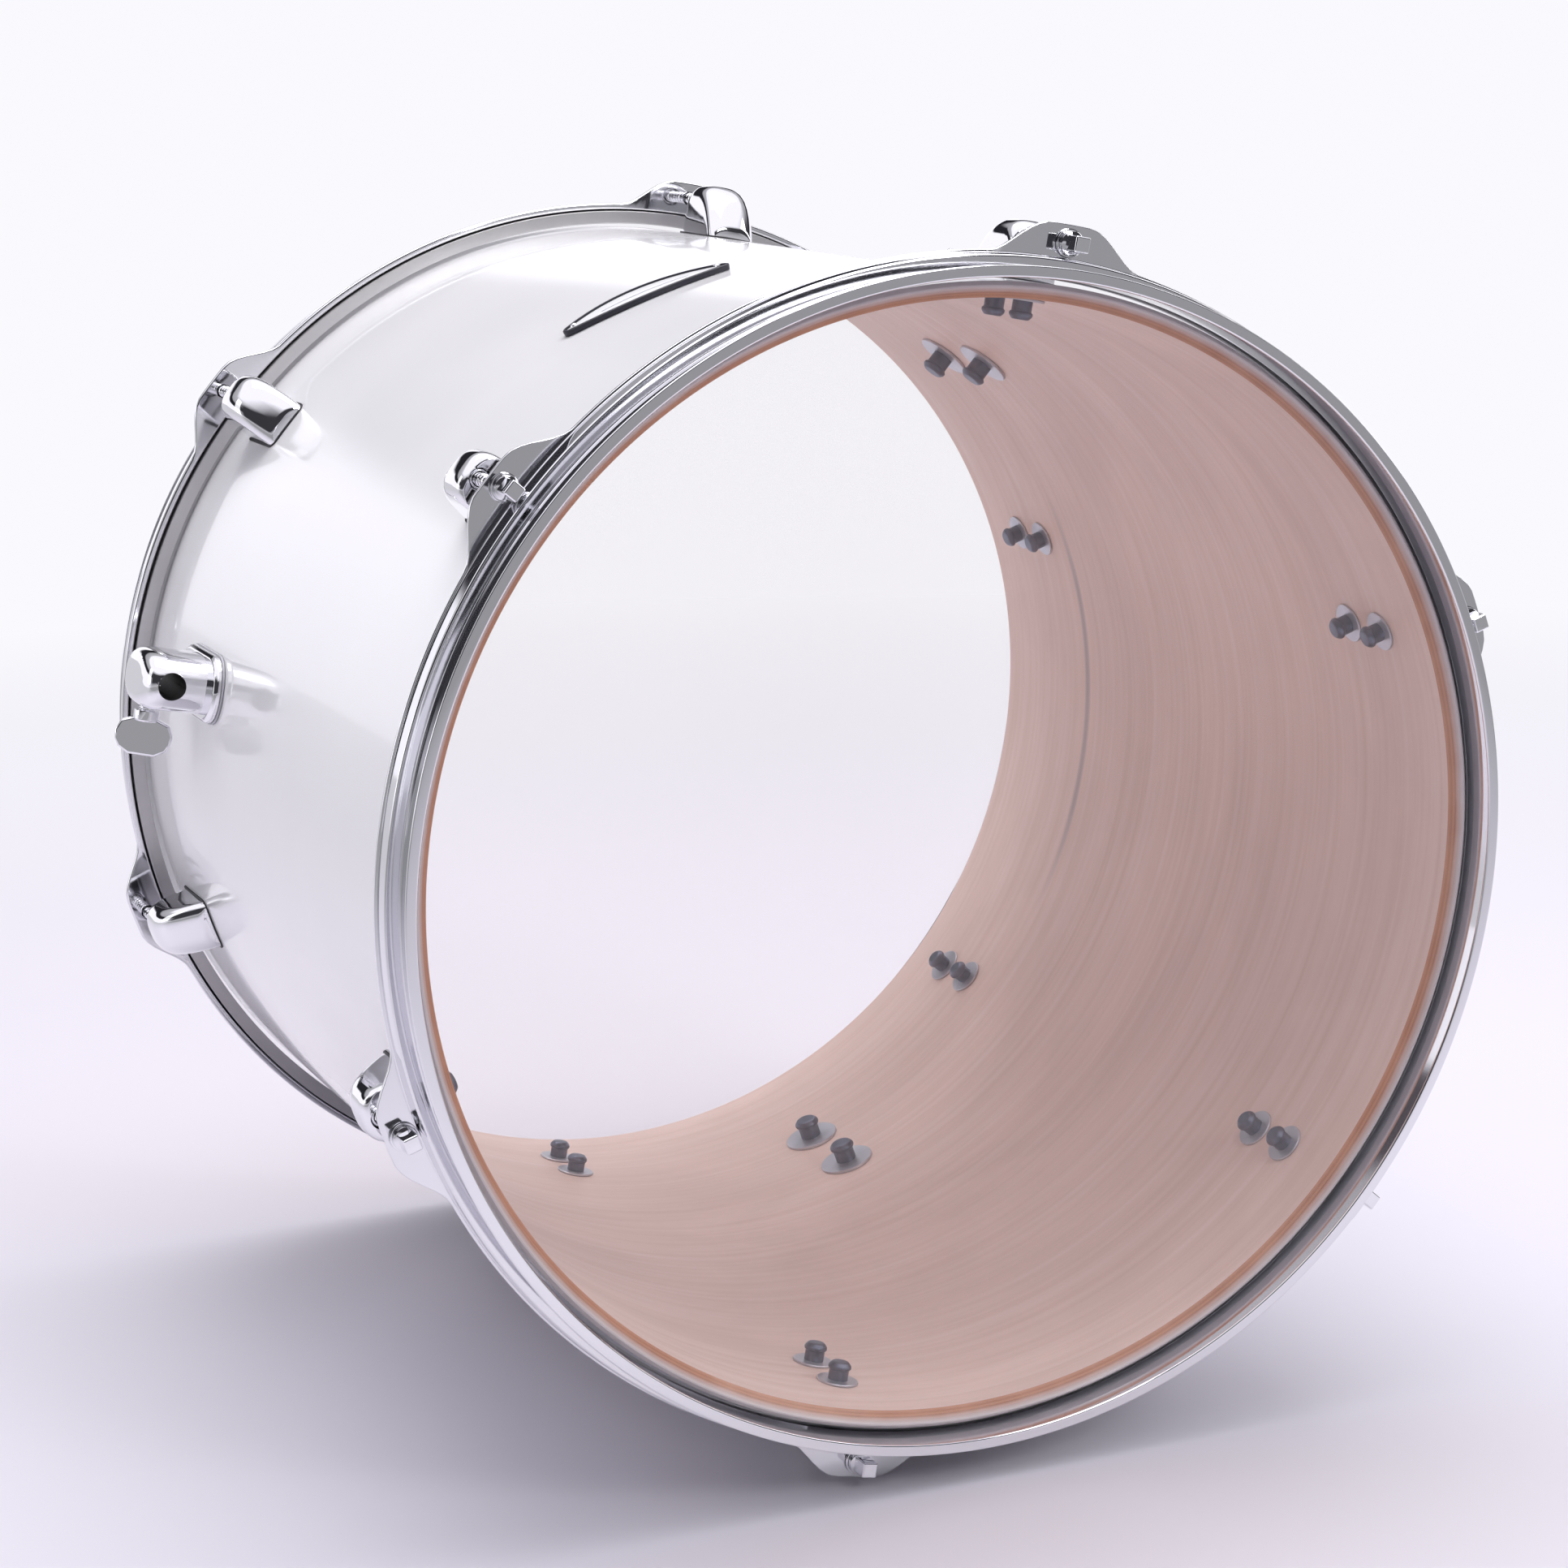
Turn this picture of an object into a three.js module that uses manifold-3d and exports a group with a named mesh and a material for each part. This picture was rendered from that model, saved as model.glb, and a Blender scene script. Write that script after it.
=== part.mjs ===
// A floor tom drum with its legs taken off, lying on its side.
// Lengths are millimetres. The drum is built about its own axis, local Z, with the batter
// head at +Z, and is then laid down so that this axis runs along Y and the batter head faces -Y.

import * as THREE from "three";
import { ConvexGeometry } from "three/addons/geometries/ConvexGeometry.js";
import { mergeVertices } from "three/addons/utils/BufferGeometryUtils.js";
import Module from "manifold-3d";

const wasm = await Module();
wasm.setup();

// ---- driving dimensions -------------------------------------------------------------------

const shellRadius = 227;          // outside of an 18 inch shell
const shellDepth = 406.4;         // edge to edge, 16 inches
const shellWall = 6.5;
const edgeSetback = 1.8;          // bearing edge's peak, in from the outside
const peakWidth = 0.6;

const gap = 0.3;                  // between pieces that touch
const ringSegments = 54;
const stockOverlap = 3;           // fittings' stock inside the shell before their seat is cut
const cutterReach = 9;            // cutting tools past the faces they go through

const filmThickness = 0.4;
const collarClearance = 1.1;      // film collar to the shell's outside
const collarFall = 0.8;           // collar's start, below the shell's outer edge
const filmPeakMargin = 0.1;       // flat film past the bearing edge's peak
const fleshHoopWidth = 5.9;
const fleshHoopTop = 4.5;         // below the bearing edge
const fleshHoopHeight = 9.5;
const fleshHoopInnerWall = 1.3;
const filmSlotWidth = 1.3;
const filmSlotFloor = 1.5;        // metal under the slot
const filmEndClearance = 1.1;     // film's end to the slot's floor
const innerWallDrop = 4.9;        // inner wall's top, below the outer wall's
const filmBendStart = 4.1;        // film's bend over the inner wall, above its top
const filmBendEnd = 1;

const hoopSteel = 1.6;
const hoopStand = 12.4;           // top flange above the bearing edge
const topFlangeWidth = 4.7;
const topFlangeEdge = 1.3;        // flange's thickness at its tip
const skirtClearance = 0.6;       // skirt to the flesh hoop
const skirtBend = 1.2;            // bevel where the shelf turns down into the skirt
const skirtSpread = 0.4;          // skirt's lean out by the height of the ears
const lipWidth = 1.4;
const earFaceDrop = 10.2;         // ear's upper face, below the bearing edge
const earPlate = 2;
const earHalfAngle = 8;           // degrees from an ear's middle to where its flare ends
const earNoseHalfAngle = 2;       // degrees of the ear's blunt nose, from its middle
const earNoseMargin = 7.2;        // ear metal outside the rod's axis

const lugCount = 6;
const firstLugAngle = 21.7;       // degrees about the drum's axis
const washerRadius = 5.6;
const washerThickness = 1.2;
const washerClearance = 0.5;      // washer to the hoop's skirt
const rodRadius = 2.65;
const rodClearance = 0.8;         // rod in the ear's hole
const rodChamfer = 0.7;
const collarRadius = 4.9;
const collarThickness = 2;
const keySquare = 6.3;
const keyHeight = 8.4;
const rodReach = 40;              // rod below its collar

const lugStart = 36;              // lug's mouth, below the bearing edge
const lugLength = 35;
const lugHalfWidth = 11.4;
const lugSideHeight = 13;         // upright part of the lug's sides
const lugShoulderInset = 2.4;       // side's lean in, up to the facet beside the crown
const lugCrownHalfWidth = 6.5;
const lugCrownCover = 7.1;        // lug's crown outside the rod's axis
const lugFacetFall = 3.2;         // from the crown down to the sides
const lugTailDrop = 2;            // crown's fall towards the tail
const lugTailChamfer = 3;
const lugBrowLength = 6;          // crown's bevel at the mouth
const lugBrowFall = 3;
const lugMouthRadius = 4.5;
const lugMouthDepth = 4;
const lugBoreSpare = 3;           // bore past the rod's tip

const bracketAngle = 51.7;
const bracketCount = 3;
const bracketStand = 106.4;       // middle of the bracket, above the resonant edge
const bracketHeight = 32;
const bracketHalfWidth = 13;
const bracketHalfLength = 23;
const bracketChamfer = 5;
const bracketCrownHalfWidth = 5.5;
const bracketShoulderHalfWidth = 9.5;
const flangeHalfWidth = 15.5;
const flangeHalfLength = 31;
const flangeThickness = 3;
const flangeCorner = 9;
const flangeBevel = 1.5;
const gasketThickness = 0.8;
const gasketRim = 0.6;            // gasket's edge past the flange
const legHoleRadius = 6;
const legHoleOffset = 20.5;         // leg's axis outside the shell
const wingScrewRadius = 3.8;
const wingScrewAlong = -12;        // screw's axis from the bracket's middle, along the drum
const padThickness = 3;
const padRecess = 0.4;            // pad's face to the leg hole's wall, backed off
const wingSpan = 25;
const wingRise = 16.5;
const wingThickness = 5;
const wingStand = 6.2;            // wing's root to the bracket's side
const wingTwist = 20;             // degrees
const screwCollarMargin = 1.8;    // collar outside the shank
const screwCollarLength = 5;

const badgeAngle = 111.5;
const badgeDepth = 148;           // badge's middle, below the batter edge
const badgeHalfLength = 38;
const badgeHalfWidth = 9;
const badgeThickness = 1;
const badgePinRadius = 0.9;
const badgePinInset = 5.2;
const badgePinHead = 0.6;         // pin's head above the badge

// ---- finishes -----------------------------------------------------------------------------

const finishes = {
  shell: { color: 0xf3f1f4, roughness: 0.25, metalness: 0 },
  film: { color: 0xe9ecf2, roughness: 0.08, metalness: 0, transparent: true, opacity: 0.3 },
  aluminium: { color: 0xa9a8ac, roughness: 0.4, metalness: 1 },
  chrome: { color: 0xd8d9de, roughness: 0.07, metalness: 1 },
  rubber: { color: 0x2c2a2d, roughness: 0.7, metalness: 0 },
  brass: { color: 0xb49252, roughness: 0.35, metalness: 1 },
  badge: { color: 0xf6f6f8, roughness: 0.3, metalness: 0.1 },
};

// ---- geometry helpers ---------------------------------------------------------------------

const radians = THREE.MathUtils.degToRad;

function signedVolume(geometry) {
  const p = geometry.attributes.position;
  const index = geometry.index.array;
  const a = new THREE.Vector3();
  const b = new THREE.Vector3();
  const c = new THREE.Vector3();
  let total = 0;
  for (let i = 0; i < index.length; i += 3) {
    a.fromBufferAttribute(p, index[i]);
    b.fromBufferAttribute(p, index[i + 1]);
    c.fromBufferAttribute(p, index[i + 2]);
    total += a.dot(b.cross(c));
  }
  return total / 6;
}

// Shared vertices merged, and the faces turned outwards.
function closed(geometry) {
  geometry.deleteAttribute("normal");
  geometry.deleteAttribute("uv");
  const merged = mergeVertices(geometry, 1e-4);
  const kept = [];
  const index = merged.index.array;
  for (let i = 0; i < index.length; i += 3) {
    const [a, b, c] = [index[i], index[i + 1], index[i + 2]];
    if (a !== b && b !== c && c !== a) kept.push(a, b, c);
  }
  merged.setIndex(kept);
  if (signedVolume(merged) < 0) {
    for (let i = 0; i < kept.length; i += 3) [kept[i], kept[i + 1]] = [kept[i + 1], kept[i]];
    merged.setIndex(kept);
  }
  return merged;
}

function toManifold(geometry) {
  const solid = closed(geometry.clone());
  return new wasm.Manifold(new wasm.Mesh({
    numProp: 3,
    vertProperties: new Float32Array(solid.attributes.position.array),
    triVerts: new Uint32Array(solid.index.array),
  }));
}

function fromManifold(manifold) {
  const mesh = manifold.getMesh();
  const geometry = new THREE.BufferGeometry();
  geometry.setAttribute("position", new THREE.BufferAttribute(mesh.vertProperties, 3));
  geometry.setIndex(new THREE.BufferAttribute(mesh.triVerts, 1));
  return geometry;
}

function cut(body, ...tools) {
  return fromManifold(tools.reduce((left, tool) => left.subtract(toManifold(tool)), toManifold(body)));
}

function join(...bodies) {
  const [first, ...rest] = bodies.map(toManifold);
  return fromManifold(rest.reduce((sum, body) => sum.add(body), first));
}

function common(body, tool) {
  return fromManifold(toManifold(body).intersect(toManifold(tool)));
}

// A ring or disc about Z from a closed outline of [radius, height] points.
function turned(outline, segments = ringSegments) {
  const points = [...outline, outline[0]].map(([r, z]) => new THREE.Vector2(r, z));
  return closed(new THREE.LatheGeometry(points, segments).rotateX(Math.PI / 2));
}

// A cylinder along Z between two heights.
function rod(radius, low, high, segments = 12) {
  const bar = new THREE.CylinderGeometry(radius, radius, high - low, segments);
  return closed(bar.rotateX(Math.PI / 2).translate(0, 0, (low + high) / 2));
}

function block(x, y, z) {
  return new THREE.BoxGeometry(x, y, z);
}

// The convex body round a list of [radial, sideways, axial] corners, each taken on both sides.
function hull(corners) {
  const points = corners.flatMap(([x, y, z]) => [
    new THREE.Vector3(x, y, z),
    new THREE.Vector3(x, -y, z),
  ]);
  return closed(new ConvexGeometry(points));
}

// The same piece at the resonant end: mirrored in the drum's middle plane.
function atOtherEnd(geometry) {
  return closed(geometry.clone().scale(1, 1, -1));
}

// What fits round the shell is faceted twice as finely, and its flats stand at the stated
// radius, so that it clears the shell whatever angle it is turned to.
const seatSegments = 2 * ringSegments;

function flatsAt(radius) {
  return radius / Math.cos(Math.PI / seatSegments);
}

// A drum-sized cylinder that cuts a seat for a fitting.
function seatCutter(radius) {
  return rod(flatsAt(radius), -shellDepth, shellDepth, seatSegments);
}

// A sleeve round the shell, from which a bent plate is taken.
function seatSleeve(radius, thickness, low, high) {
  const inside = flatsAt(radius);
  const outside = flatsAt(radius + thickness);
  return turned([[inside, low], [outside, low], [outside, high], [inside, high]], seatSegments);
}

// ---- derived places -----------------------------------------------------------------------

const halfDepth = shellDepth / 2;
const shellInside = shellRadius - shellWall;
const peakOutside = shellRadius - edgeSetback + peakWidth / 2;
const peakInside = peakOutside - peakWidth;
const collarRadiusAtShell = shellRadius + collarClearance + filmThickness / 2;
const fleshInside = collarRadiusAtShell + filmThickness / 2 + gap;
const fleshOutside = fleshInside + fleshHoopWidth;
const slotInside = fleshInside + fleshHoopInnerWall;
const slotOutside = slotInside + filmSlotWidth;
const wallInside = fleshInside + gap;
const skirtInside = fleshOutside + skirtClearance;
const skirtOutside = skirtInside + hoopSteel;
const earFaceStart = skirtOutside + skirtSpread;
const rodAxis = earFaceStart + washerRadius + washerClearance;
const earNose = rodAxis + earNoseMargin;
const seatRadius = shellRadius + gap;
const lugAngles = Array.from({ length: lugCount }, (_, i) => firstLugAngle + (i * 360) / lugCount);
const bracketAngles = Array.from({ length: bracketCount }, (_, i) => bracketAngle + (i * 360) / bracketCount);
const legAxis = shellRadius + legHoleOffset;
const bracketTop = shellRadius + bracketHeight;
const padFace = legHoleRadius + padRecess;

// ---- shell --------------------------------------------------------------------------------

function shellGeometry() {
  const bevel = peakInside - shellInside;
  const upper = [
    [shellInside, halfDepth - bevel],
    [peakInside, halfDepth],
    [peakOutside, halfDepth],
    [shellRadius, halfDepth - edgeSetback],
  ];
  const lower = upper.map(([r, z]) => [r, -z]).reverse();
  return turned([...upper, ...lower]);
}

// ---- head: film and the flesh hoop that grips it ---------------------------------------------

const filmSlotDepth = fleshHoopHeight - filmSlotFloor;

// Heights here are measured from the bearing edge, positive outwards.
function filmGeometry() {
  const half = filmThickness / 2;
  const top = gap + half;
  const slotMiddle = (slotInside + slotOutside) / 2;
  const innerTop = -fleshHoopTop - innerWallDrop;
  const line = [
    [0, top],
    [peakOutside + filmPeakMargin, top],
    [collarRadiusAtShell, -edgeSetback - collarFall],
    [collarRadiusAtShell, innerTop + filmBendStart],
    [slotMiddle, innerTop + filmBendEnd],
    [slotMiddle, -fleshHoopTop - filmSlotDepth + filmEndClearance],
  ].map(([r, z]) => new THREE.Vector2(r, z));
  const outer = offsetLine(line, half);
  const inner = offsetLine(line, -half).reverse();
  const points = [...outer, ...inner].map((p) => new THREE.Vector2(Math.max(0, p.x), halfDepth + p.y));
  return closed(new THREE.LatheGeometry(points, ringSegments).rotateX(Math.PI / 2));
}

// A line moved sideways by a distance, mitred at its corners.
function offsetLine(line, distance) {
  return line.map((point, i) => {
    const before = line[Math.max(0, i - 1)];
    const after = line[Math.min(line.length - 1, i + 1)];
    const first = point.clone().sub(i ? before : point);
    const second = after.clone().sub(point);
    const a = (i ? first : second).normalize();
    const b = (i < line.length - 1 ? second : first).normalize();
    const normal = new THREE.Vector2(-(a.y + b.y), a.x + b.x).normalize();
    const mitre = distance / normal.dot(new THREE.Vector2(-a.y, a.x));
    return point.clone().addScaledVector(normal, mitre);
  });
}

function fleshHoopGeometry() {
  const top = halfDepth - fleshHoopTop;
  const bottom = top - fleshHoopHeight;
  return turned([
    [fleshOutside, top],
    [slotOutside, top],
    [slotOutside, top - filmSlotDepth],
    [slotInside, top - filmSlotDepth],
    [slotInside, top - innerWallDrop],
    [fleshInside, top - innerWallDrop],
    [fleshInside, bottom],
    [fleshOutside, bottom],
  ]);
}

// ---- triple-flanged hoop ----------------------------------------------------------------------

// How far the lip has flared into an ear, 0 to 1, at an angle in degrees from the ear's middle.
function earFlare(angle) {
  return 1 - THREE.MathUtils.smoothstep(Math.abs(angle), earNoseHalfAngle, earHalfAngle);
}

// Section of the pressed steel at an angle where the lip has flared by a share.
function hoopSection(flare) {
  const top = hoopStand;
  const shelf = -fleshHoopTop + gap;
  const lip = THREE.MathUtils.lerp(skirtOutside + lipWidth, earNose, flare);
  const flangeTip = wallInside + topFlangeWidth;
  return [
    [flangeTip, top],
    [flangeTip, top - topFlangeEdge],
    [wallInside + hoopSteel, top - hoopSteel],
    [wallInside + hoopSteel, shelf + hoopSteel],
    [skirtOutside - skirtBend, shelf + hoopSteel],
    [skirtOutside, shelf + hoopSteel - skirtBend],
    [earFaceStart, -earFaceDrop],
    [lip, -earFaceDrop],
    [lip, -earFaceDrop - earPlate],
    [skirtInside, -earFaceDrop - earPlate],
    [skirtInside, shelf],
    [wallInside, shelf],
    [wallInside, top],
  ];
}

// Angles round the hoop, closer together where an ear flares.
function hoopAngles() {
  const across = [-1, -0.76, -0.55, -0.25, 0, 0.25, 0.55, 0.76, 1];
  const between = 6;
  const pitch = 360 / lugCount;
  const span = pitch - 2 * earHalfAngle;
  const angles = [];
  for (const middle of lugAngles) {
    for (const step of across) angles.push(middle + step * earHalfAngle);
    for (let i = 1; i < between; i += 1) angles.push(middle + earHalfAngle + (span * i) / between);
  }
  return angles;
}

function hoopGeometry() {
  const angles = hoopAngles();
  const pitch = 360 / lugCount;
  const sides = hoopSection(0).length;
  const positions = [];
  const index = [];
  angles.forEach((angle, i) => {
    const fromEar = THREE.MathUtils.euclideanModulo(angle - firstLugAngle + pitch / 2, pitch) - pitch / 2;
    for (const [r, z] of hoopSection(earFlare(fromEar))) {
      positions.push(r * Math.cos(radians(angle)), r * Math.sin(radians(angle)), halfDepth + z);
    }
    const next = (i + 1) % angles.length;
    for (let k = 0; k < sides; k += 1) {
      const k2 = (k + 1) % sides;
      index.push(i * sides + k, next * sides + k, i * sides + k2);
      index.push(i * sides + k2, next * sides + k, next * sides + k2);
    }
  });
  const ring = new THREE.BufferGeometry();
  ring.setAttribute("position", new THREE.Float32BufferAttribute(positions, 3));
  ring.setIndex(index);
  const holeRadius = rodRadius + rodClearance;
  const faceHeight = halfDepth - earFaceDrop;
  const holes = lugAngles.map((angle) =>
    rod(holeRadius, faceHeight - earPlate - cutterReach, faceHeight + cutterReach)
      .translate(rodAxis, 0, 0)
      .rotateZ(radians(angle)));
  return cut(ring, ...holes);
}

// ---- tension rod and washer ---------------------------------------------------------------------

const washerLow = halfDepth - earFaceDrop + gap;

function washerGeometry() {
  const high = washerLow + washerThickness;
  const bore = rodRadius + gap;
  return turned([[bore, washerLow], [washerRadius, washerLow], [washerRadius, high], [bore, high]], 12);
}

function tensionRodGeometry() {
  const seat = washerLow + washerThickness + gap;
  const shoulder = seat + collarThickness;
  const tip = seat - rodReach;
  const stem = turned([
    [0, tip],
    [rodRadius - rodChamfer, tip],
    [rodRadius, tip + rodChamfer],
    [rodRadius, seat],
    [collarRadius, seat],
    [collarRadius, shoulder],
    [0, shoulder],
  ], 10);
  const sunk = collarThickness / 2;
  const key = block(keySquare, keySquare, keyHeight + sunk);
  return join(stem, key.translate(0, 0, shoulder + (keyHeight - sunk) / 2));
}

// ---- lug ------------------------------------------------------------------------------------------

// Radial is X, sideways is Y; the mouth faces the nearer hoop, up +Z.
function lugGeometry() {
  const mouth = halfDepth - lugStart;
  const tail = mouth - lugLength;
  const brow = mouth - lugBrowLength;
  const haunch = tail + lugTailChamfer;
  const crown = rodAxis + lugCrownCover;
  const tailCrown = crown - lugTailDrop;
  const root = shellRadius - stockOverlap;
  const side = shellRadius + lugSideHeight;
  const shoulderHalfWidth = lugHalfWidth - lugShoulderInset;
  const body = hull([
    [root, lugHalfWidth, mouth],
    [side, lugHalfWidth, mouth],
    [crown - lugFacetFall - lugBrowFall / 2, shoulderHalfWidth, mouth],
    [crown - lugBrowFall, lugCrownHalfWidth, mouth],
    [crown - lugFacetFall, shoulderHalfWidth, brow],
    [crown, lugCrownHalfWidth, brow],
    [root, lugHalfWidth, haunch],
    [side - lugTailDrop, lugHalfWidth, haunch],
    [tailCrown - lugFacetFall, shoulderHalfWidth, haunch],
    [tailCrown, lugCrownHalfWidth, haunch],
    [root, lugHalfWidth - lugTailChamfer, tail],
    [tailCrown - lugTailChamfer, shoulderHalfWidth - lugTailChamfer, tail],
  ]);
  const recess = rod(lugMouthRadius, mouth - lugMouthDepth, mouth + cutterReach, 14);
  const boreEnd = washerLow - rodReach - lugBoreSpare;
  const bore = rod(rodRadius + gap, boreEnd, mouth, 10);
  const hole = join(recess, bore).translate(rodAxis, 0, 0);
  return cut(body, hole, seatCutter(seatRadius));
}

// ---- leg bracket and its screw ----------------------------------------------------------------------

const bracketMiddle = bracketStand - halfDepth;
const screwHeight = bracketMiddle + wingScrewAlong;

// A plate's corners on both ends, rounded by one extra corner, at a distance from the axis.
function roundedPlate(x, halfWidth, halfLength) {
  const softened = 0.3 * flangeCorner;
  return [-1, 1].flatMap((end) => [
    [x, halfWidth - flangeCorner, bracketMiddle + end * halfLength],
    [x, halfWidth - softened, bracketMiddle + end * (halfLength - softened)],
    [x, halfWidth, bracketMiddle + end * (halfLength - flangeCorner)],
  ]);
}

function bracketGeometry() {
  const root = shellRadius - stockOverlap;
  const shoulder = bracketTop - bracketChamfer;
  const side = shoulder - bracketChamfer;
  const endInset = bracketChamfer / 3;
  const body = hull([-1, 1].flatMap((end) => {
    const face = bracketMiddle + end * bracketHalfLength;
    const brow = face - end * bracketChamfer;
    const ridge = brow - (end * bracketChamfer) / 2;
    return [
      [root, bracketHalfWidth - endInset, face],
      [side, bracketHalfWidth - endInset, face],
      [shoulder, bracketShoulderHalfWidth - endInset, face],
      [root, bracketHalfWidth, brow],
      [side, bracketHalfWidth, brow],
      [(shoulder + bracketTop) / 2, bracketShoulderHalfWidth, brow],
      [bracketTop, bracketCrownHalfWidth, ridge],
    ];
  }));
  const flangeTop = shellRadius + gasketThickness + 2 * gap + flangeThickness;
  const plate = hull([
    ...roundedPlate(root, flangeHalfWidth, flangeHalfLength),
    ...roundedPlate(flangeTop, flangeHalfWidth - flangeBevel, flangeHalfLength - flangeBevel),
  ]);
  const reach = bracketHalfLength + cutterReach;
  const legHole = rod(legHoleRadius, bracketMiddle - reach, bracketMiddle + reach, 16)
    .translate(legAxis, 0, 0);
  const screwBore = rod(wingScrewRadius + gap, 0, bracketHalfWidth + cutterReach)
    .rotateX(-Math.PI / 2)
    .translate(legAxis, 0, screwHeight);
  return cut(join(body, plate), legHole, screwBore, seatCutter(seatRadius + gasketThickness + gap));
}

function gasketGeometry() {
  const width = flangeHalfWidth + gasketRim;
  const length = flangeHalfLength + gasketRim;
  const outline = hull([
    ...roundedPlate(shellRadius - cutterReach, width, length),
    ...roundedPlate(shellRadius + cutterReach, width, length),
  ]);
  const [low, high] = [bracketMiddle - 2 * length, bracketMiddle + 2 * length];
  const sleeve = seatSleeve(seatRadius, gasketThickness, low, high);
  return common(outline, sleeve);
}

// The pad that bears on the leg; it slides in the screw's bore without turning.
function padGeometry() {
  return rod(wingScrewRadius, padFace, padFace + padThickness, 10)
    .rotateX(-Math.PI / 2)
    .translate(legAxis, 0, screwHeight);
}

// The wing's outline, as shares of half its span and of its rise.
const wingOutline = [[0.5, 0], [0.92, 0.2], [1, 0.55], [0.78, 0.9], [0.5, 1]];

function wingScrewGeometry() {
  const start = padFace + padThickness + gap;
  const root = bracketHalfWidth + wingStand;
  const sunk = 0.3 * screwCollarLength;
  const shank = rod(wingScrewRadius, start, root + sunk, 10);
  const collar = rod(wingScrewRadius + screwCollarMargin, root + sunk - screwCollarLength, root + sunk, 10);
  const right = wingOutline.map(([x, y]) => new THREE.Vector2((x * wingSpan) / 2, y * wingRise));
  const left = right.map((p) => new THREE.Vector2(-p.x, p.y)).reverse();
  const wing = new THREE.ExtrudeGeometry(new THREE.Shape([...right, ...left]), {
    depth: wingThickness,
    bevelEnabled: false,
  });
  wing.translate(0, 0, -wingThickness / 2)
    .rotateX(Math.PI / 2)
    .translate(0, 0, root)
    .rotateZ(radians(wingTwist));
  return join(shank, collar, wing).rotateX(-Math.PI / 2).translate(legAxis, 0, screwHeight);
}

// ---- badge ---------------------------------------------------------------------------------------

// A pointed oval of two arcs, long across the drum's axis, bent to the shell.
function badgeGeometry() {
  const steps = 12;
  const middle = halfDepth - badgeDepth;
  const outline = new THREE.Shape();
  for (let i = 0; i < 2 * steps; i += 1) {
    const side = i < steps ? 1 : -1;
    const t = (i % steps) / steps;
    const along = side * (2 * t - 1);
    const across = -side * (1 - along * along);
    outline[i ? "lineTo" : "moveTo"](along * badgeHalfLength, across * badgeHalfWidth);
  }
  const prism = new THREE.ExtrudeGeometry(outline, { depth: 2 * badgeHalfLength, bevelEnabled: false })
    .rotateY(Math.PI / 2)
    .rotateX(Math.PI / 2)
    .translate(shellRadius - badgeHalfLength, 0, middle);
  const [low, high] = [middle - 2 * badgeHalfWidth, middle + 2 * badgeHalfWidth];
  const sleeve = seatSleeve(seatRadius, badgeThickness, low, high);
  const hole = rod(badgePinRadius + gap, -cutterReach, cutterReach, 8);
  const holes = [-1, 1].map((side) => badgePinAt(side, hole.clone()));
  return cut(common(prism, sleeve), ...holes);
}

function badgePinAt(side, piece) {
  const swing = (badgeHalfLength - badgePinInset) / shellRadius;
  return piece
    .rotateY(Math.PI / 2)
    .translate(seatRadius, 0, halfDepth - badgeDepth)
    .rotateZ(side * swing);
}

function badgePinGeometry(side) {
  return badgePinAt(side, rod(badgePinRadius, gap, badgeThickness + badgePinHead, 8));
}

// ---- assembly ----------------------------------------------------------------------------------------

const drum = new THREE.Group();

function addPiece(name, geometry, finish, angle = 0) {
  const mesh = new THREE.Mesh(geometry, new THREE.MeshStandardMaterial(finishes[finish]));
  mesh.name = name;
  mesh.rotation.z = radians(angle);
  drum.add(mesh);
  return mesh;
}

addPiece("shell", shellGeometry(), "shell");

const ends = { batter: (geometry) => geometry, resonant: atOtherEnd };
const endShapes = {
  film: filmGeometry(),
  fleshHoop: fleshHoopGeometry(),
  hoop: hoopGeometry(),
  lug: lugGeometry(),
  washer: washerGeometry().translate(rodAxis, 0, 0),
  tensionRod: tensionRodGeometry().translate(rodAxis, 0, 0),
};

const hoops = [];
for (const [end, place] of Object.entries(ends)) {
  addPiece(`${end}_head_film`, place(endShapes.film), "film");
  addPiece(`${end}_flesh_hoop`, place(endShapes.fleshHoop), "aluminium");
  hoops.push(addPiece(`${end}_hoop`, place(endShapes.hoop), "chrome"));
  lugAngles.forEach((angle, i) => {
    addPiece(`${end}_lug_${i + 1}`, place(endShapes.lug), "chrome", angle);
    addPiece(`${end}_washer_${i + 1}`, place(endShapes.washer), "chrome", angle);
    addPiece(`${end}_tension_rod_${i + 1}`, place(endShapes.tensionRod), "chrome", angle);
  });
}

const brackets = bracketAngles.map((angle, i) => {
  addPiece(`leg_bracket_gasket_${i + 1}`, gasketGeometry(), "rubber", angle);
  addPiece(`leg_clamp_pad_${i + 1}`, padGeometry(), "brass", angle);
  addPiece(`wing_screw_${i + 1}`, wingScrewGeometry(), "chrome", angle);
  return addPiece(`leg_bracket_${i + 1}`, bracketGeometry(), "chrome", angle);
});

addPiece("badge", badgeGeometry(), "badge", badgeAngle);
addPiece("badge_pin_1", badgePinGeometry(-1), "chrome", badgeAngle);
addPiece("badge_pin_2", badgePinGeometry(1), "chrome", badgeAngle);

// Height of a mesh's lowest point, with local Y up, once the drum has rolled by an angle.
function lowestPoint(mesh, roll) {
  const turn = mesh.rotation.z + roll;
  const p = mesh.geometry.attributes.position;
  let lowest = Infinity;
  for (let i = 0; i < p.count; i += 1) {
    lowest = Math.min(lowest, p.getX(i) * Math.sin(turn) + p.getY(i) * Math.cos(turn));
  }
  return lowest;
}

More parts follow.
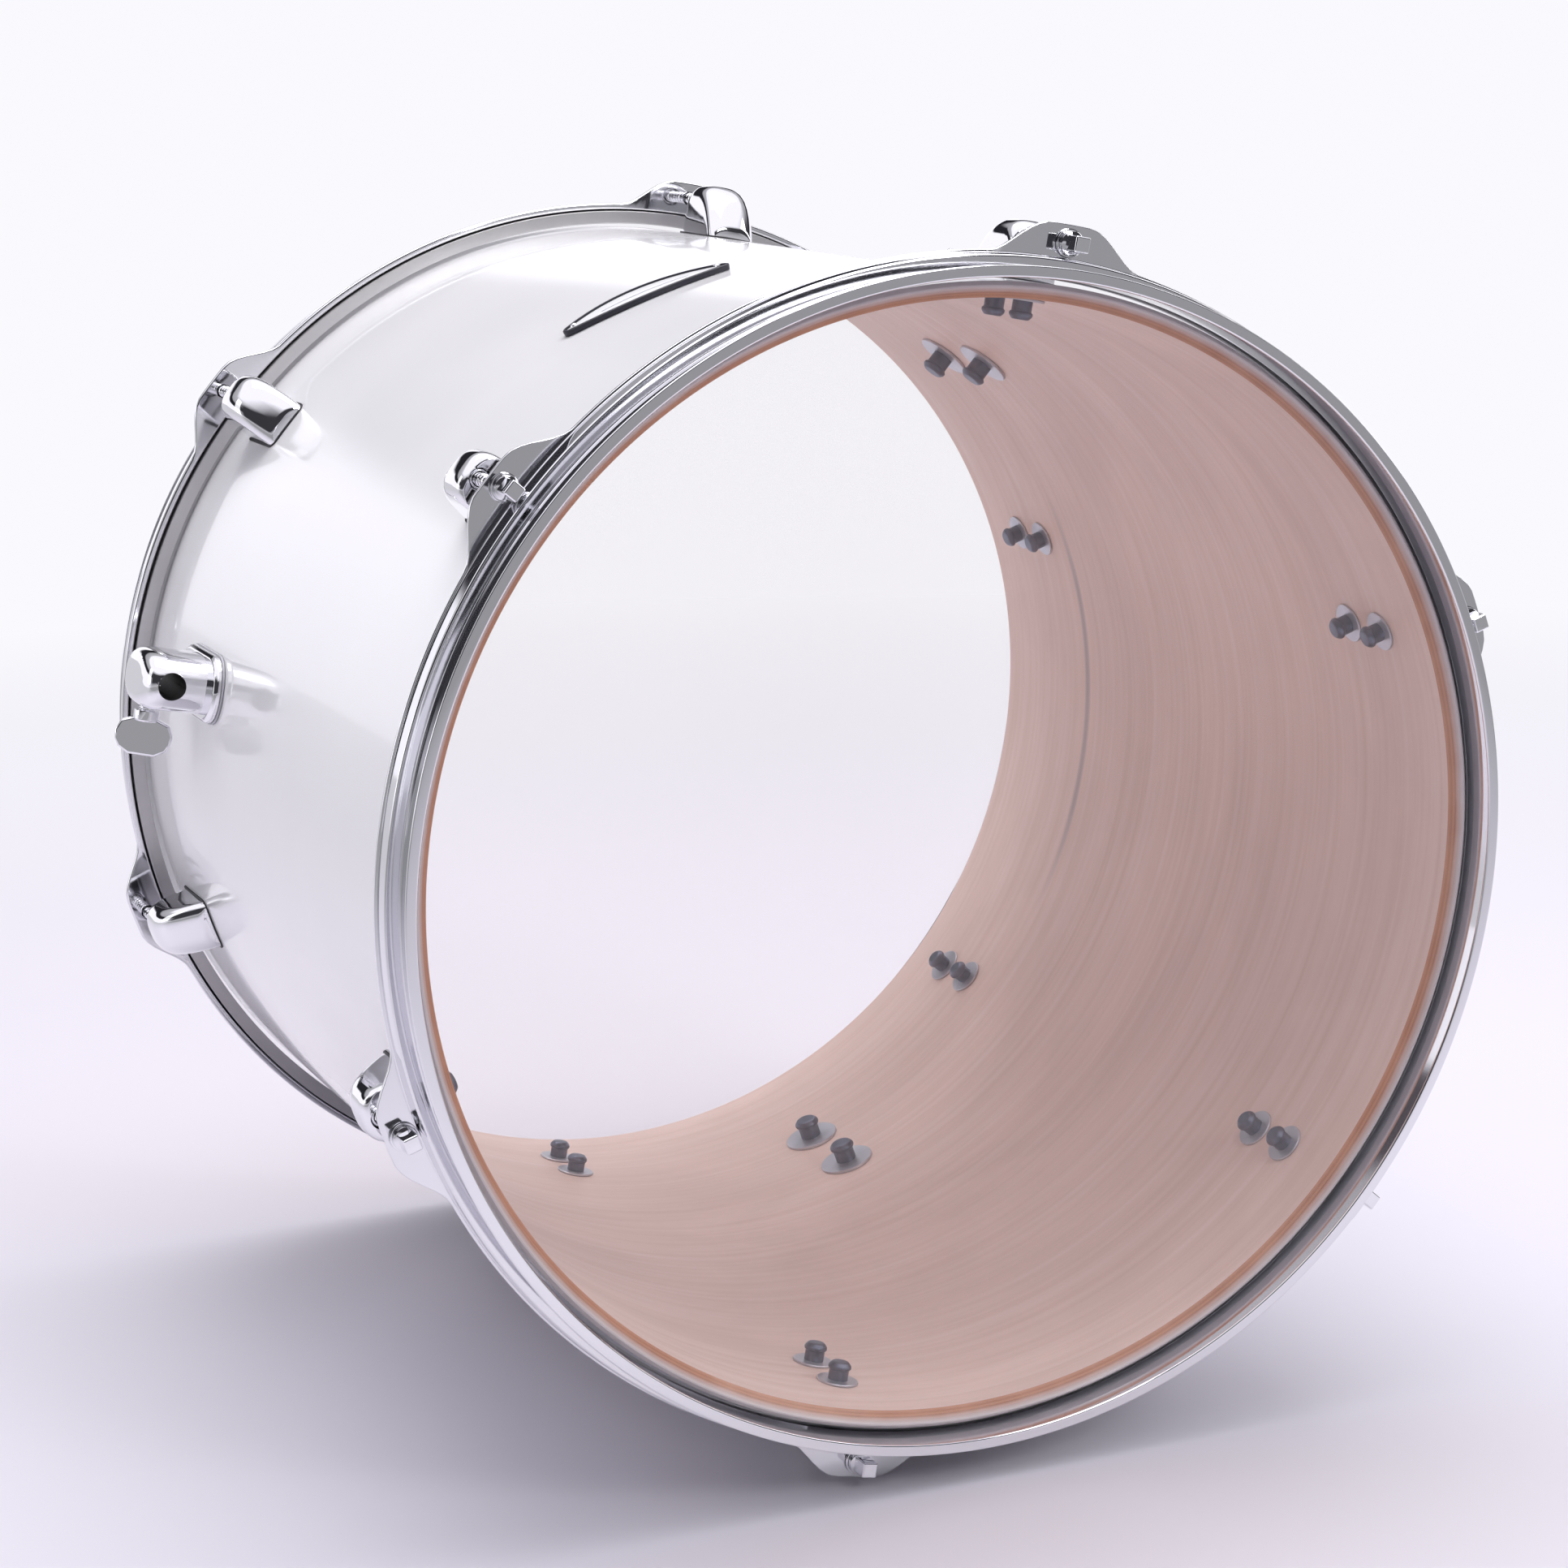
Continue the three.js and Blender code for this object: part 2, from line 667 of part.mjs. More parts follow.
// The drum lies on an ear of each hoop and on the leg bracket next to them: the roll at which
// both are equally low is found by halving.
function restingRoll() {
  const widest = 6;
  const halvings = 40;
  let [low, high] = [radians(-widest), radians(widest)];
  const difference = (roll) => lowestPoint(hoops[0], roll) - lowestPoint(brackets[2], roll);
  for (let i = 0; i < halvings; i += 1) {
    const middle = (low + high) / 2;
    if (Math.sign(difference(middle)) === Math.sign(difference(low))) low = middle;
    else high = middle;
  }
  return (low + high) / 2;
}

const rolled = new THREE.Group();
rolled.rotation.z = restingRoll();
rolled.add(drum);

const laid = new THREE.Group();
laid.rotation.x = Math.PI / 2;
laid.add(rolled);

const group = new THREE.Group();
group.add(laid);
group.updateMatrixWorld(true);
const bounds = new THREE.Box3().setFromObject(group, true);
laid.position.set(-(bounds.min.x + bounds.max.x) / 2, -(bounds.min.y + bounds.max.y) / 2, -bounds.min.z);

export default group;
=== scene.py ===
import math

import bmesh
import bpy
from mathutils import Matrix, Vector


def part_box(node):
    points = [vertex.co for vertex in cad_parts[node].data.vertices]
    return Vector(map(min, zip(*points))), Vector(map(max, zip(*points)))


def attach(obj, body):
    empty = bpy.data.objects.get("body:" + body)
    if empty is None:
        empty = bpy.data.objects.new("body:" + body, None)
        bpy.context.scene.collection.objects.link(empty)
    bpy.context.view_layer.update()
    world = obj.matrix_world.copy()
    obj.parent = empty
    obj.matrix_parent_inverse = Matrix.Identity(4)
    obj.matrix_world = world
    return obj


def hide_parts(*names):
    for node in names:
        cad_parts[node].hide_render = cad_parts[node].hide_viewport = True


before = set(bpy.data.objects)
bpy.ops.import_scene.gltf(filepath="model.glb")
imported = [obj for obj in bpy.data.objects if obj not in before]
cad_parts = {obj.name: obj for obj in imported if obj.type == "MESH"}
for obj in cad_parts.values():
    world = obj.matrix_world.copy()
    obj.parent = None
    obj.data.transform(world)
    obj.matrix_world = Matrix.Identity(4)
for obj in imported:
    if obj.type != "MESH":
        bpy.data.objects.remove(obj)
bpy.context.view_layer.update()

# Places taken from the frame.

# The pieces are made in millimetres in the drum's own frame: z runs along the drum's axis and
# out of the batter head, from the middle of the shell.
ends = {"batter": 1, "resonant": -1}
shellLow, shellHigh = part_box("shell")
drumMiddle = (shellLow + shellHigh) / 2
drumTurn = Matrix.Rotation(math.radians(90), 4, "X")
drumToRow = Matrix.Translation(drumMiddle) @ drumTurn @ Matrix.Scale(0.001, 4)
rowToDrum = drumToRow.inverted()
halfDepth = 500 * (shellHigh.y - shellLow.y)


def drumPoints(node):
    return [rowToDrum @ v.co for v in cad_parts[node].data.vertices]


def awayFromAxis(node):
    return [math.hypot(p.x, p.y) for p in drumPoints(node)]


def angleOf(node):  # about the drum's axis, halfway between the node's two sides
    points = drumPoints(node)
    rough = sum(points, Vector()) / len(points)
    start = math.atan2(rough.y, rough.x)
    turned = [Matrix.Rotation(-start, 3, "Z") @ p for p in points]
    swings = [math.atan2(p.y, p.x) for p in turned]
    return start + (min(swings) + max(swings)) / 2


def nodeSpan(node):  # outward, sideways and axial limits of a node, turned to stand at angle zero
    turn = Matrix.Rotation(-angleOf(node), 3, "Z")
    points = [turn @ p for p in drumPoints(node)]
    return [(min(p[k] for p in points), max(p[k] for p in points)) for k in range(3)]


shellRadius = max(awayFromAxis("shell"))
shellInside = min(awayFromAxis("shell"))
lugAngles = [angleOf(f"batter_washer_{i}") for i in range(1, 7)]
bracketAngles = [angleOf(f"leg_bracket_gasket_{i}") for i in range(1, 4)]
washerOut, washerAlong = nodeSpan("batter_washer_1")[::2]
rodAxis = sum(washerOut) / 2
rodAlong = nodeSpan("batter_tension_rod_1")[2]
lugOut, lugSide, lugAlong = nodeSpan("batter_lug_1")
bracketOut, bracketSide, bracketAlong = nodeSpan("leg_bracket_1")
bracketMiddle = sum(bracketAlong) / 2
print("shell radius", round(shellRadius, 2), "rod axis", round(rodAxis, 2))

# Camera.

stageSetup = {
    "firstLugAngle": math.radians(21.7),  # where the first lug stood when the eye was placed
    "eye": (-0.6401, 0.3040, 1.2646),     # from the middle of the batter edge
    "right": (0.91652, 0.03074, 0.3988),
    "down": (-0.04772, -0.98152, 0.18533),
    "lens": 85.68,
    "sensor": 36,
    "farClip": 200,
}


def placeCamera(s):
    roll = Matrix.Rotation(lugAngles[0] - s["firstLugAngle"], 4, "Z")
    turn = drumTurn @ roll
    edge = drumToRow @ Vector((0, 0, halfDepth))
    right = Vector(s["right"]).normalized()
    down = Vector(s["down"])
    down = (down - right * down.dot(right)).normalized()
    axes = Matrix((right, -down, -right.cross(down))).transposed()
    data = bpy.data.cameras.new("camera")
    data.sensor_width = s["sensor"]
    data.lens = s["lens"]
    data.clip_end = s["farClip"]
    camera = bpy.data.objects.new("camera", data)
    bpy.context.scene.collection.objects.link(camera)
    stand = Matrix.LocRotScale(Vector(s["eye"]), axes.to_quaternion(), None)
    camera.matrix_world = Matrix.Translation(edge) @ turn @ stand
    bpy.context.scene.camera = camera


placeCamera(stageSetup)

# Shader writing.


class Field:  # a shader socket that can be used in arithmetic
    def __init__(self, board, socket):
        self.board = board
        self.socket = socket

    def __add__(self, other):
        return self.board.maths("ADD", self, other)

    def __sub__(self, other):
        return self.board.maths("SUBTRACT", self, other)

    def __rsub__(self, other):
        return self.board.maths("SUBTRACT", other, self)

    def __mul__(self, other):
        return self.board.maths("MULTIPLY", self, other)

    def __truediv__(self, other):
        return self.board.maths("DIVIDE", self, other)

    def __rtruediv__(self, other):
        return self.board.maths("DIVIDE", other, self)

    def __gt__(self, other):
        return self.board.maths("GREATER_THAN", self, other)

    __radd__, __rmul__ = __add__, __mul__


class Board:  # a node tree being wired
    def __init__(self, tree):
        self.tree = tree

    def node(self, kind, settings=None, inputs=None, output=0):
        made = self.tree.nodes.new(kind)
        for key, value in (settings or {}).items():
            if key == "stops":
                ramp = made.color_ramp
                while len(ramp.elements) < len(value):
                    ramp.elements.new(0.5)
                for element, (place, color) in zip(ramp.elements, value):
                    element.position = place
                    element.color = (*color, 1)
            else:
                setattr(made, key, value)
        for key, value in (inputs or {}).items():
            self.feed(made.inputs[key], value)
        return Field(self, made.outputs[output])

    def feed(self, socket, value):
        if isinstance(value, Field):
            self.tree.links.new(value.socket, socket)
        elif isinstance(value, (tuple, list)) and len(value) == 3 and len(socket.default_value) == 4:
            socket.default_value = (*value, 1)
        else:
            socket.default_value = value

    def place(self):
        return self.node("ShaderNodeTexCoord", output=3)

    def parts(self, vector):
        split = self.tree.nodes.new("ShaderNodeSeparateXYZ")
        self.feed(split.inputs[0], vector)
        return [Field(self, split.outputs[k]) for k in range(3)]

    def vector(self, x, y, z):
        return self.node("ShaderNodeCombineXYZ", inputs={0: x, 1: y, 2: z})

    def noise(self, vector, scale, detail=3, roughness=0.5, distortion=0.0):
        return self.node("ShaderNodeTexNoise", inputs={
            "Vector": vector, "Scale": scale, "Detail": detail,
            "Roughness": roughness, "Distortion": distortion})

    def ramp(self, value, *stops):
        return self.node("ShaderNodeValToRGB", {"stops": stops}, {0: value})

    def mix(self, factor, first, second):
        return self.node("ShaderNodeMix", {"data_type": "RGBA"}, {0: factor, 6: first, 7: second}, 2)

    def between(self, value, low, high, newLow=0.0, newHigh=1.0):
        return self.node("ShaderNodeMapRange", inputs={
            0: value, 1: low, 2: high, 3: newLow, 4: newHigh})

    def bump(self, height, strength, distance):
        return self.node("ShaderNodeBump", inputs={
            "Height": height, "Strength": strength, "Distance": distance})

    def maths(self, operation, *values):
        return self.node("ShaderNodeMath", {"operation": operation}, dict(enumerate(values)))


class Finish(Board):  # a material being wired
    def __init__(self, name):
        self.material = bpy.data.materials.new(name)
        self.material.use_nodes = True
        super().__init__(self.material.node_tree)
        self.surface = self.tree.nodes["Principled BSDF"]

    def set(self, **values):
        names = {"color": "Base Color", "roughness": "Roughness", "metallic": "Metallic",
                 "coat": "Coat Weight", "coatRoughness": "Coat Roughness", "alpha": "Alpha",
                 "normal": "Normal"}
        for key, value in values.items():
            self.feed(self.surface.inputs[names[key]], value)
        return self.material


def fromAxis(board):  # place about the drum's axis: along it, away from it, and both cross directions
    x, y, z = board.parts(board.place())
    across = x - drumMiddle.x
    up = z - drumMiddle.z
    return y, board.maths("SQRT", across * across + up * up), across, up


def whiteLacquer():
    board = Finish("whiteLacquer")
    peel = board.noise(board.place(), 900, 2)
    cloud = board.noise(board.place(), 7, 3)
    return board.set(
        color=board.ramp(cloud, (0.3, (0.86, 0.85, 0.88)), (0.7, (0.89, 0.885, 0.905))),
        roughness=board.between(cloud, 0.3, 0.7, 0.16, 0.21),
        coat=0.6, coatRoughness=0.05,
        normal=board.bump(peel, 0.04, 0.0002))


paintedReflectionLine = {                  # painted reflection: a dark line painted round part of the inside
    "along": 0.118,
    "edges": (0.0032, 0.001),  # distance from the line where it starts and where it is full
    "lowEnd": (-0.11, -0.06),
    "highEnd": (0.1, 0.05),
    "strength": 0.62,
    "color": (0.3, 0.25, 0.27),
}


def bareMaple():
    board = Finish("bareMaple")
    along, away, across, up = fromAxis(board)
    streaks = board.noise(board.vector(across * 1.2, along * 60, up * 1.2), 4, 5, 0.6, 0.3)
    pores = board.noise(board.vector(across * 1.6, along * 500, up * 1.6), 3, 2, 0.5)
    cloud = board.noise(board.vector(across * 5, along * 9, up * 5), 1.4, 4, 0.55, 0.6)
    wood = board.ramp(streaks, (0.3, (0.76, 0.585, 0.515)), (0.5, (0.81, 0.64, 0.575)),
                      (0.72, (0.85, 0.695, 0.645)))
    shade = board.ramp(cloud, (0.3, (0.9, 0.87, 0.86)), (0.7, (1.04, 1.03, 1.03)))
    toned = board.node("ShaderNodeMix", {"data_type": "RGBA", "blend_type": "MULTIPLY"},
                       {0: 1.0, 6: wood, 7: shade}, 2)
    # painted reflection: a dark hairline round part of the inside wall, on one side only
    wander = board.noise(board.vector(across * 6, 0.0, up * 6), 1, 2) * 0.004
    offLine = board.maths("ABSOLUTE", along + wander - paintedReflectionLine["along"])
    stretch = board.between(up, *paintedReflectionLine["lowEnd"]) * board.between(up, *paintedReflectionLine["highEnd"]) * (across > 0)
    reflectedLine = board.between(offLine, *paintedReflectionLine["edges"]) * stretch * paintedReflectionLine["strength"]
    toned = board.mix(reflectedLine, toned, paintedReflectionLine["color"])
    return board.set(
        color=toned,
        roughness=board.between(pores, 0.3, 0.7, 0.42, 0.58),
        normal=board.bump(pores, 0.05, 0.0002))


def stainedEdge():
    board = Finish("stainedEdge")
    along, away, across, up = fromAxis(board)
    plies = board.noise(board.vector(across * 0.6, along * 1500, up * 0.6), 1, 2, 0.4)
    rings = board.noise(board.vector(away * 1400, along * 500, 0.0), 1, 3, 0.6)
    brush = board.noise(board.place(), 60, 3)
    wood = board.ramp(rings * 0.7 + brush * 0.3,
                      (0.32, (0.3, 0.105, 0.045)), (0.5, (0.46, 0.19, 0.095)), (0.68, (0.58, 0.28, 0.16)))
    lacquered = board.between(away + brush * 0.001, 0.2229, 0.2252)  # lacquer that ran over the outer half
    color = board.mix(lacquered, wood, (0.62, 0.55, 0.56))
    return board.set(color=color, roughness=0.38, coat=0.3, normal=board.bump(plies, 0.1, 0.0002))


def chromePlate(name, tint, low, high, ripple):
    board = Finish(name)
    smear = board.noise(board.place(), 28, 4, 0.6, 0.8)
    fine = board.noise(board.place(), 420, 2)
    return board.set(
        color=tint, metallic=1.0,
        roughness=board.between(smear, 0.35, 0.75, low, high),
        normal=board.bump(fine, ripple, 0.0001))


def satinAluminium():
    board = Finish("satinAluminium")
    along, away, across, up = fromAxis(board)
    brushed = board.noise(board.vector(across * 4, along * 900, up * 4), 1, 3, 0.6)
    return board.set(
        color=board.ramp(brushed, (0.3, (0.5, 0.49, 0.5)), (0.7, (0.66, 0.65, 0.66))),
        metallic=1.0, roughness=0.36, normal=board.bump(brushed, 0.08, 0.0002))


def clearFilm():
    board = Finish("clearFilm")
    haze = board.noise(board.place(), 3, 3, 0.5)
    return board.set(
        color=(0.95, 0.92, 0.96), roughness=0.06,
        alpha=board.between(haze, 0.3, 0.7, 0.035, 0.05))


def grained(name, noise, dark, light, roughness, metallic=0.0, bump=None):  # one grain drives all of it
    board = Finish(name)
    grain = board.noise(board.place(), *noise)
    values = {"color": board.ramp(grain, (0.3, dark), (0.7, light)), "metallic": metallic}
    varies = isinstance(roughness, tuple)
    values["roughness"] = board.between(grain, 0.3, 0.7, *roughness) if varies else roughness
    if bump:
        values["normal"] = board.bump(grain, *bump)
    return board.set(**values)


finishes = {
    "lacquer": whiteLacquer(),
    "maple": bareMaple(),
    "stain": stainedEdge(),
    "chrome": chromePlate("chrome", (0.84, 0.84, 0.87), 0.035, 0.075, 0.012),
    "hoopChrome": chromePlate("hoopChrome", (0.8, 0.8, 0.83), 0.05, 0.1, 0.004),
    "aluminium": satinAluminium(),
    "film": clearFilm(),
    # grain scale, detail and roughness; dark and light colour; roughness; metallic; bump
    "rubber": grained("blackRubber", (1500, 2), (0.012, 0.012, 0.014), (0.03, 0.03, 0.034), 0.55,
                      bump=(0.1, 0.0002)),
    "zinc": grained("zincSteel", (160, 3, 0.6), (0.11, 0.115, 0.155), (0.18, 0.185, 0.235),
                    (0.3, 0.45), 0.85),
    "washer": grained("washerSteel", (90, 3, 0.6), (0.5, 0.5, 0.55), (0.62, 0.62, 0.67), (0.3, 0.45), 0.75),
    "brass": grained("turnedBrass", (700, 2), (0.42, 0.28, 0.1), (0.56, 0.4, 0.17), 0.28, 1.0,
                     (0.05, 0.0001)),
    # painted shade: near-black finish for the walls of the leg hole, standing in for the shade inside the
    # hole
    "boreShade": grained("paintedShadeBore", (300, 3, 0.6), (0.01, 0.01, 0.01), (0.03, 0.027, 0.025),
                         0.6, 0.3),
    "paleGasket": grained("paleGasket", (300, 3, 0.6), (0.5, 0.5, 0.54), (0.6, 0.6, 0.64), 0.45),
    "badgeWhite": grained("badgeWhite", (500, 2), (0.84, 0.84, 0.86), (0.88, 0.88, 0.9), 0.2),
    "badgeGrey": grained("badgeGrey", (500, 2), (0.42, 0.42, 0.47), (0.5, 0.5, 0.55), 0.35),
    "badgeBlack": grained("badgeBlack", (500, 2), (0.006, 0.005, 0.014), (0.012, 0.01, 0.024), 0.4),
}
print("finishes written:", len(finishes))

# Mesh helpers.


def meshOf(points, faces):
    mesh = bpy.data.meshes.new("shape")
    mesh.from_pydata([tuple(p) for p in points], [], faces)
    return mesh


def finishMesh(name, mesh, mats, indices=None, sharp=32):
    mesh.transform(drumToRow)
    for mat in mats:
        mesh.materials.append(finishes[mat])
    if indices:
        for polygon, index in zip(mesh.polygons, indices):
            polygon.material_index = index
    mesh.shade_smooth()
    mesh.set_sharp_from_angle(angle=math.radians(sharp))
    blank = looseObject("blank", mesh)
    weighted = blank.modifiers.new("weighted", "WEIGHTED_NORMAL")
    weighted.keep_sharp = True
    final = applied(blank)
    final.name = name
    return looseObject(name, final)


def claim(piece, body, slot, *nodes):
    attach(piece, body)
    if nodes:
        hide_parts(*nodes)


def rounded(outline, radius, steps=3):  # each corner of a closed outline becomes a small arc
    softened = []
    for i, corner in enumerate(outline):
        before, after = Vector(outline[i - 1]), Vector(outline[(i + 1) % len(outline)])
        here = Vector(corner)
        if here.x == 0:  # on the axis of a turned outline
            softened.append(here)
            continue
        room = 0.45 * min((before - here).length, (after - here).length)
        cutBack = min(radius, room)
        first = here + (before - here).normalized() * cutBack
        last = here + (after - here).normalized() * cutBack
        for k in range(steps + 1):
            t = k / steps
            softened.append(first * (1 - t) ** 2 + here * (2 * t * (1 - t)) + last * t * t)
    return softened


def turnedMesh(outline, segments, closed=True):  # points and faces of an outline turned about the z axis
    points, faces = [], []
    count = len(outline)
    for k in range(segments):
        turn = 2 * math.pi * k / segments
        points += [Vector((r * math.cos(turn), r * math.sin(turn), z)) for r, z in outline]
    for k in range(segments):
        following = (k + 1) % segments
        for j in range(count if closed else count - 1):
            j2 = (j + 1) % count
            faces.append((k * count + j, following * count + j, following * count + j2, k * count + j2))
    return points, faces


def faceOutwards(mesh):
    work = bmesh.new()
    work.from_mesh(mesh)
    bmesh.ops.remove_doubles(work, verts=work.verts, dist=1e-7)
    bmesh.ops.recalc_face_normals(work, faces=work.faces)
    work.to_mesh(mesh)
    work.free()


def turnedShape(outline, segments, place=None, closed=True):
    mesh = meshOf(*turnedMesh(outline, segments, closed))
    faceOutwards(mesh)
    if place:
        mesh.transform(place)
    return mesh


def applied(piece):  # the evaluated mesh of an object with modifiers, as a plain mesh
    bpy.context.view_layer.update()
    evaluated = piece.evaluated_get(bpy.context.evaluated_depsgraph_get())
    mesh = bpy.data.meshes.new_from_object(evaluated)
    bpy.data.objects.remove(piece)
    return mesh


def looseObject(name, mesh):
    piece = bpy.data.objects.new(name, mesh)
    bpy.context.scene.collection.objects.link(piece)
    return piece


def combined(operation, mesh, *tools):
    body = looseObject("blank", mesh)
    others = []
    for tool in tools:
        other = looseObject("tool", tool)
        others.append(other)
        modifier = body.modifiers.new("combine", "BOOLEAN")
        modifier.operation = operation
        modifier.solver = "EXACT"
        modifier.object = other
    result = applied(body)
    for other in others:
        bpy.data.objects.remove(other)
    return result


def cutAway(mesh, *tools):
    return combined("DIFFERENCE", mesh, *tools)


def common(mesh, *tools):
    return combined("INTERSECT", mesh, *tools)


def cylinderMesh(radius, low, high, segments=40):
    return turnedShape([(0, low), (radius, low), (radius, high), (0, high)], segments, closed=False)


def hullMesh(points):
    work = bmesh.new()
    for p in points:
        work.verts.new(p)
    bmesh.ops.remove_doubles(work, verts=work.verts, dist=1e-6)
    made = bmesh.ops.convex_hull(work, input=work.verts)
    spare = [v for v in made["geom_interior"] if isinstance(v, bmesh.types.BMVert)]
    bmesh.ops.delete(work, geom=spare, context="VERTS")
    bmesh.ops.dissolve_limit(work, angle_limit=math.radians(1), verts=work.verts, edges=work.edges)
    bmesh.ops.recalc_face_normals(work, faces=work.faces)
    mesh = bpy.data.meshes.new("hull")
    work.to_mesh(mesh)
    work.free()
    return mesh


def bevelled(mesh, width, segments=3, angle=20):
    piece = looseObject("blank", mesh)
    modifier = piece.modifiers.new("bevel", "BEVEL")
    modifier.width = width
    modifier.segments = segments
    modifier.limit_method = "ANGLE"
    modifier.angle_limit = math.radians(angle)
    return applied(piece)


spare = 9           # how far a cutter reaches past what it cuts
seatSegments = 480


def atAngle(angle, side=1):  # places what was made at angle zero on the batter side
    return Matrix.Rotation(angle, 4, "Z") @ Matrix.Diagonal((1, 1, side, 1))


def placedCopy(mesh, place):
    copy = mesh.copy()
    copy.transform(place)
    if place.determinant() < 0:
        copy.flip_normals()
    return copy


# Floor and light.

studio = {
    "floorSize": 60,
    "floorColor": (0.68, 0.655, 0.715),
    "farColor": (0.955, 0.95, 0.99),
    "sweepColor": (0.7, 0.69, 0.73),
    "skyColor": (1.15, 1.13, 1.2),
    "patchColor": (0.6, 0.58, 0.64),
    "nearGlow": (0.36, 0.36, 0.375),
    "darkColor": (0.02, 0.02, 0.025),
    "fadeStart": 0.7,
    "fadeEnd": 2.0,
}


def studioFloor(s):
    board = Finish("studioFloor")
    x, y, z = board.parts(board.place())
    far = board.between(board.maths("SQRT", x * x + y * y), s["fadeStart"], s["fadeEnd"])
    cloud = board.noise(board.place(), 2, 2)
    patches = board.between(cloud, 0.3, 0.7, 0.0, 0.05)
    board.set(color=board.mix(patches, s["floorColor"], s["patchColor"]), roughness=0.42)
    glow = board.tree.nodes.new("ShaderNodeEmission")
    ahead = board.between(y, -0.7, 0.5)
    room = board.mix(ahead, s["nearGlow"], s["sweepColor"])
    seen = board.node("ShaderNodeLightPath", output=0)
    board.feed(glow.inputs["Color"], board.mix(seen, room, s["farColor"]))
    blend = board.tree.nodes.new("ShaderNodeMixShader")
    board.feed(blend.inputs[0], far)
    board.tree.links.new(board.surface.outputs[0], blend.inputs[1])
    board.tree.links.new(glow.outputs[0], blend.inputs[2])
    board.tree.links.new(blend.outputs[0], board.tree.nodes["Material Output"].inputs["Surface"])
    half = s["floorSize"] / 2
    mesh = meshOf([(-half, -half, 0), (half, -half, 0), (half, half, 0), (-half, half, 0)], [(0, 1, 2, 3)])
    mesh.materials.append(board.material)
    looseObject("floor", mesh)


def studioWorld(s):
    world = bpy.data.worlds.new("studio")
    bpy.context.scene.world = world
    world.use_nodes = True
    tree = world.node_tree
    tree.nodes.clear()
    board = Board(tree)
    x, y, z = board.parts(board.node("ShaderNodeTexCoord", output=0))
    sweep = board.between(y, -0.2, 0.2)            # 1 towards the white sweep behind the drum
    behind = board.ramp(z, (0.0, (1, 1, 1)), (0.25, (1, 1, 1)), (0.28, (0, 0, 0)), (0.42, (0, 0, 0)),
                        (0.46, (0.35, 0.35, 0.35)), (0.62, (0.45, 0.45, 0.45)), (0.68, (1, 1, 1)))
    before = board.ramp(z, (0.0, (0.5, 0.5, 0.5)), (0.06, (0.3, 0.3, 0.3)), (0.1, (0.02, 0.02, 0.02)),
                        (0.52, (0.02, 0.02, 0.02)), (0.6, (0.5, 0.5, 0.5)), (0.7, (1, 1, 1)))
    lit = board.mix(board.mix(sweep, before, behind), s["darkColor"], s["skyColor"])
    seen = board.mix(board.node("ShaderNodeLightPath", output=0), lit, s["farColor"])
    background = board.tree.nodes.new("ShaderNodeBackground")
    board.feed(background.inputs["Color"], seen)
    background.inputs["Strength"].default_value = 1.0
    output = board.tree.nodes.new("ShaderNodeOutputWorld")
    tree.links.new(background.outputs[0], output.inputs[0])


def softbox(name, place, target, size, watts):
    data = bpy.data.lights.new(name, "AREA")
    data.shape = "RECTANGLE"
    data.size, data.size_y = size
    data.energy = watts
    lamp = bpy.data.objects.new(name, data)
    bpy.context.scene.collection.objects.link(lamp)
    lamp.location = place
    lamp.rotation_euler = (Vector(target) - Vector(place)).to_track_quat("-Z", "Y").to_euler()


# name: place, what it faces, size in metres, watts
softboxes = {
    "topLight": ((0.2, 0.3, 2.4), (0, 0, 0.2), (2.2, 1.6), 38),
    "leftLight": ((-2.6, 0.5, 1.3), (0, 0, 0.25), (0.9, 1.8), 5),
    "rightLight": ((2.2, -0.9, 1.5), (0, 0, 0.25), (0.7, 1.5), 9),
    "frontLight": ((0.9, -2.6, 1.9), (0, 0, 0.25), (0.8, 0.8), 16),
}

studioFloor(studio)
studioWorld(studio)
for name, settings in softboxes.items():
    softbox(name, *settings)
bpy.context.scene.view_settings.view_transform = "Standard"
print("studio ready")

# Shell.

shellSizes = {
    "edgeSetback": 1.8,   # bearing edge's peak, in from the outside
    "peakWidth": 0.6,
    "segments": 384,
    "sharpAngle": 25,     # degrees
}


def buildShell(s):
    peakOut = shellRadius - s["edgeSetback"] + s["peakWidth"] / 2
    peakIn = peakOut - s["peakWidth"]
    upper = [
        (shellInside, halfDepth - (peakIn - shellInside)),
        (peakIn, halfDepth),
        (peakOut, halfDepth),
        (shellRadius, halfDepth - s["edgeSetback"]),
    ]
    outline = upper + [(r, -z) for r, z in reversed(upper)]
    pattern = [1, 1, 1, 0, 1, 1, 1, 2]  # finish of each strip: lacquer outside, maple inside, stained edges
    piece = finishMesh("shellWood", turnedShape(outline, s["segments"]), ["lacquer", "stain", "maple"],
                       pattern * s["segments"], s["sharpAngle"])
    claim(piece, "drum", "shell", "shell")


buildShell(shellSizes)

# Heads: clear film and its flesh hoop.

headSizes = {
    "filmThickness": 0.4,
    "filmHeight": 0.5,
    "flatRadius": 225.6,
    "collarRadius": 228.3,   # middle of the film where it passes the shell
    "fleshInside": 228.8,
    "fleshOutside": 234.7,
    "fleshTop": -4.5,        # heights are from the bearing edge, positive outwards
    "fleshBottom": -14.0,
    "slotInside": 230.1,
    "slotOutside": 231.4,
    "slotFloor": -12.5,
    "innerTop": -9.4,
    "segments": 256,
}


def thickLine(line, thickness):  # a closed outline round a line, mitred at its corners
    sides = []
    for distance in (thickness / 2, -thickness / 2):
        side = []
        for i, point in enumerate(line):
            here = Vector(point)
            a = (here - Vector(line[i - 1])).normalized() if i else (Vector(line[1]) - here).normalized()
            b = (Vector(line[i + 1]) - here).normalized() if i < len(line) - 1 else a
            normal = Vector((-(a.y + b.y), a.x + b.x)).normalized()
            side.append(here + normal * distance / normal.dot(Vector((-a.y, a.x))))
        sides.append(side)
    return [Vector((max(0, p.x), p.y)) for p in sides[0] + sides[1][::-1]]


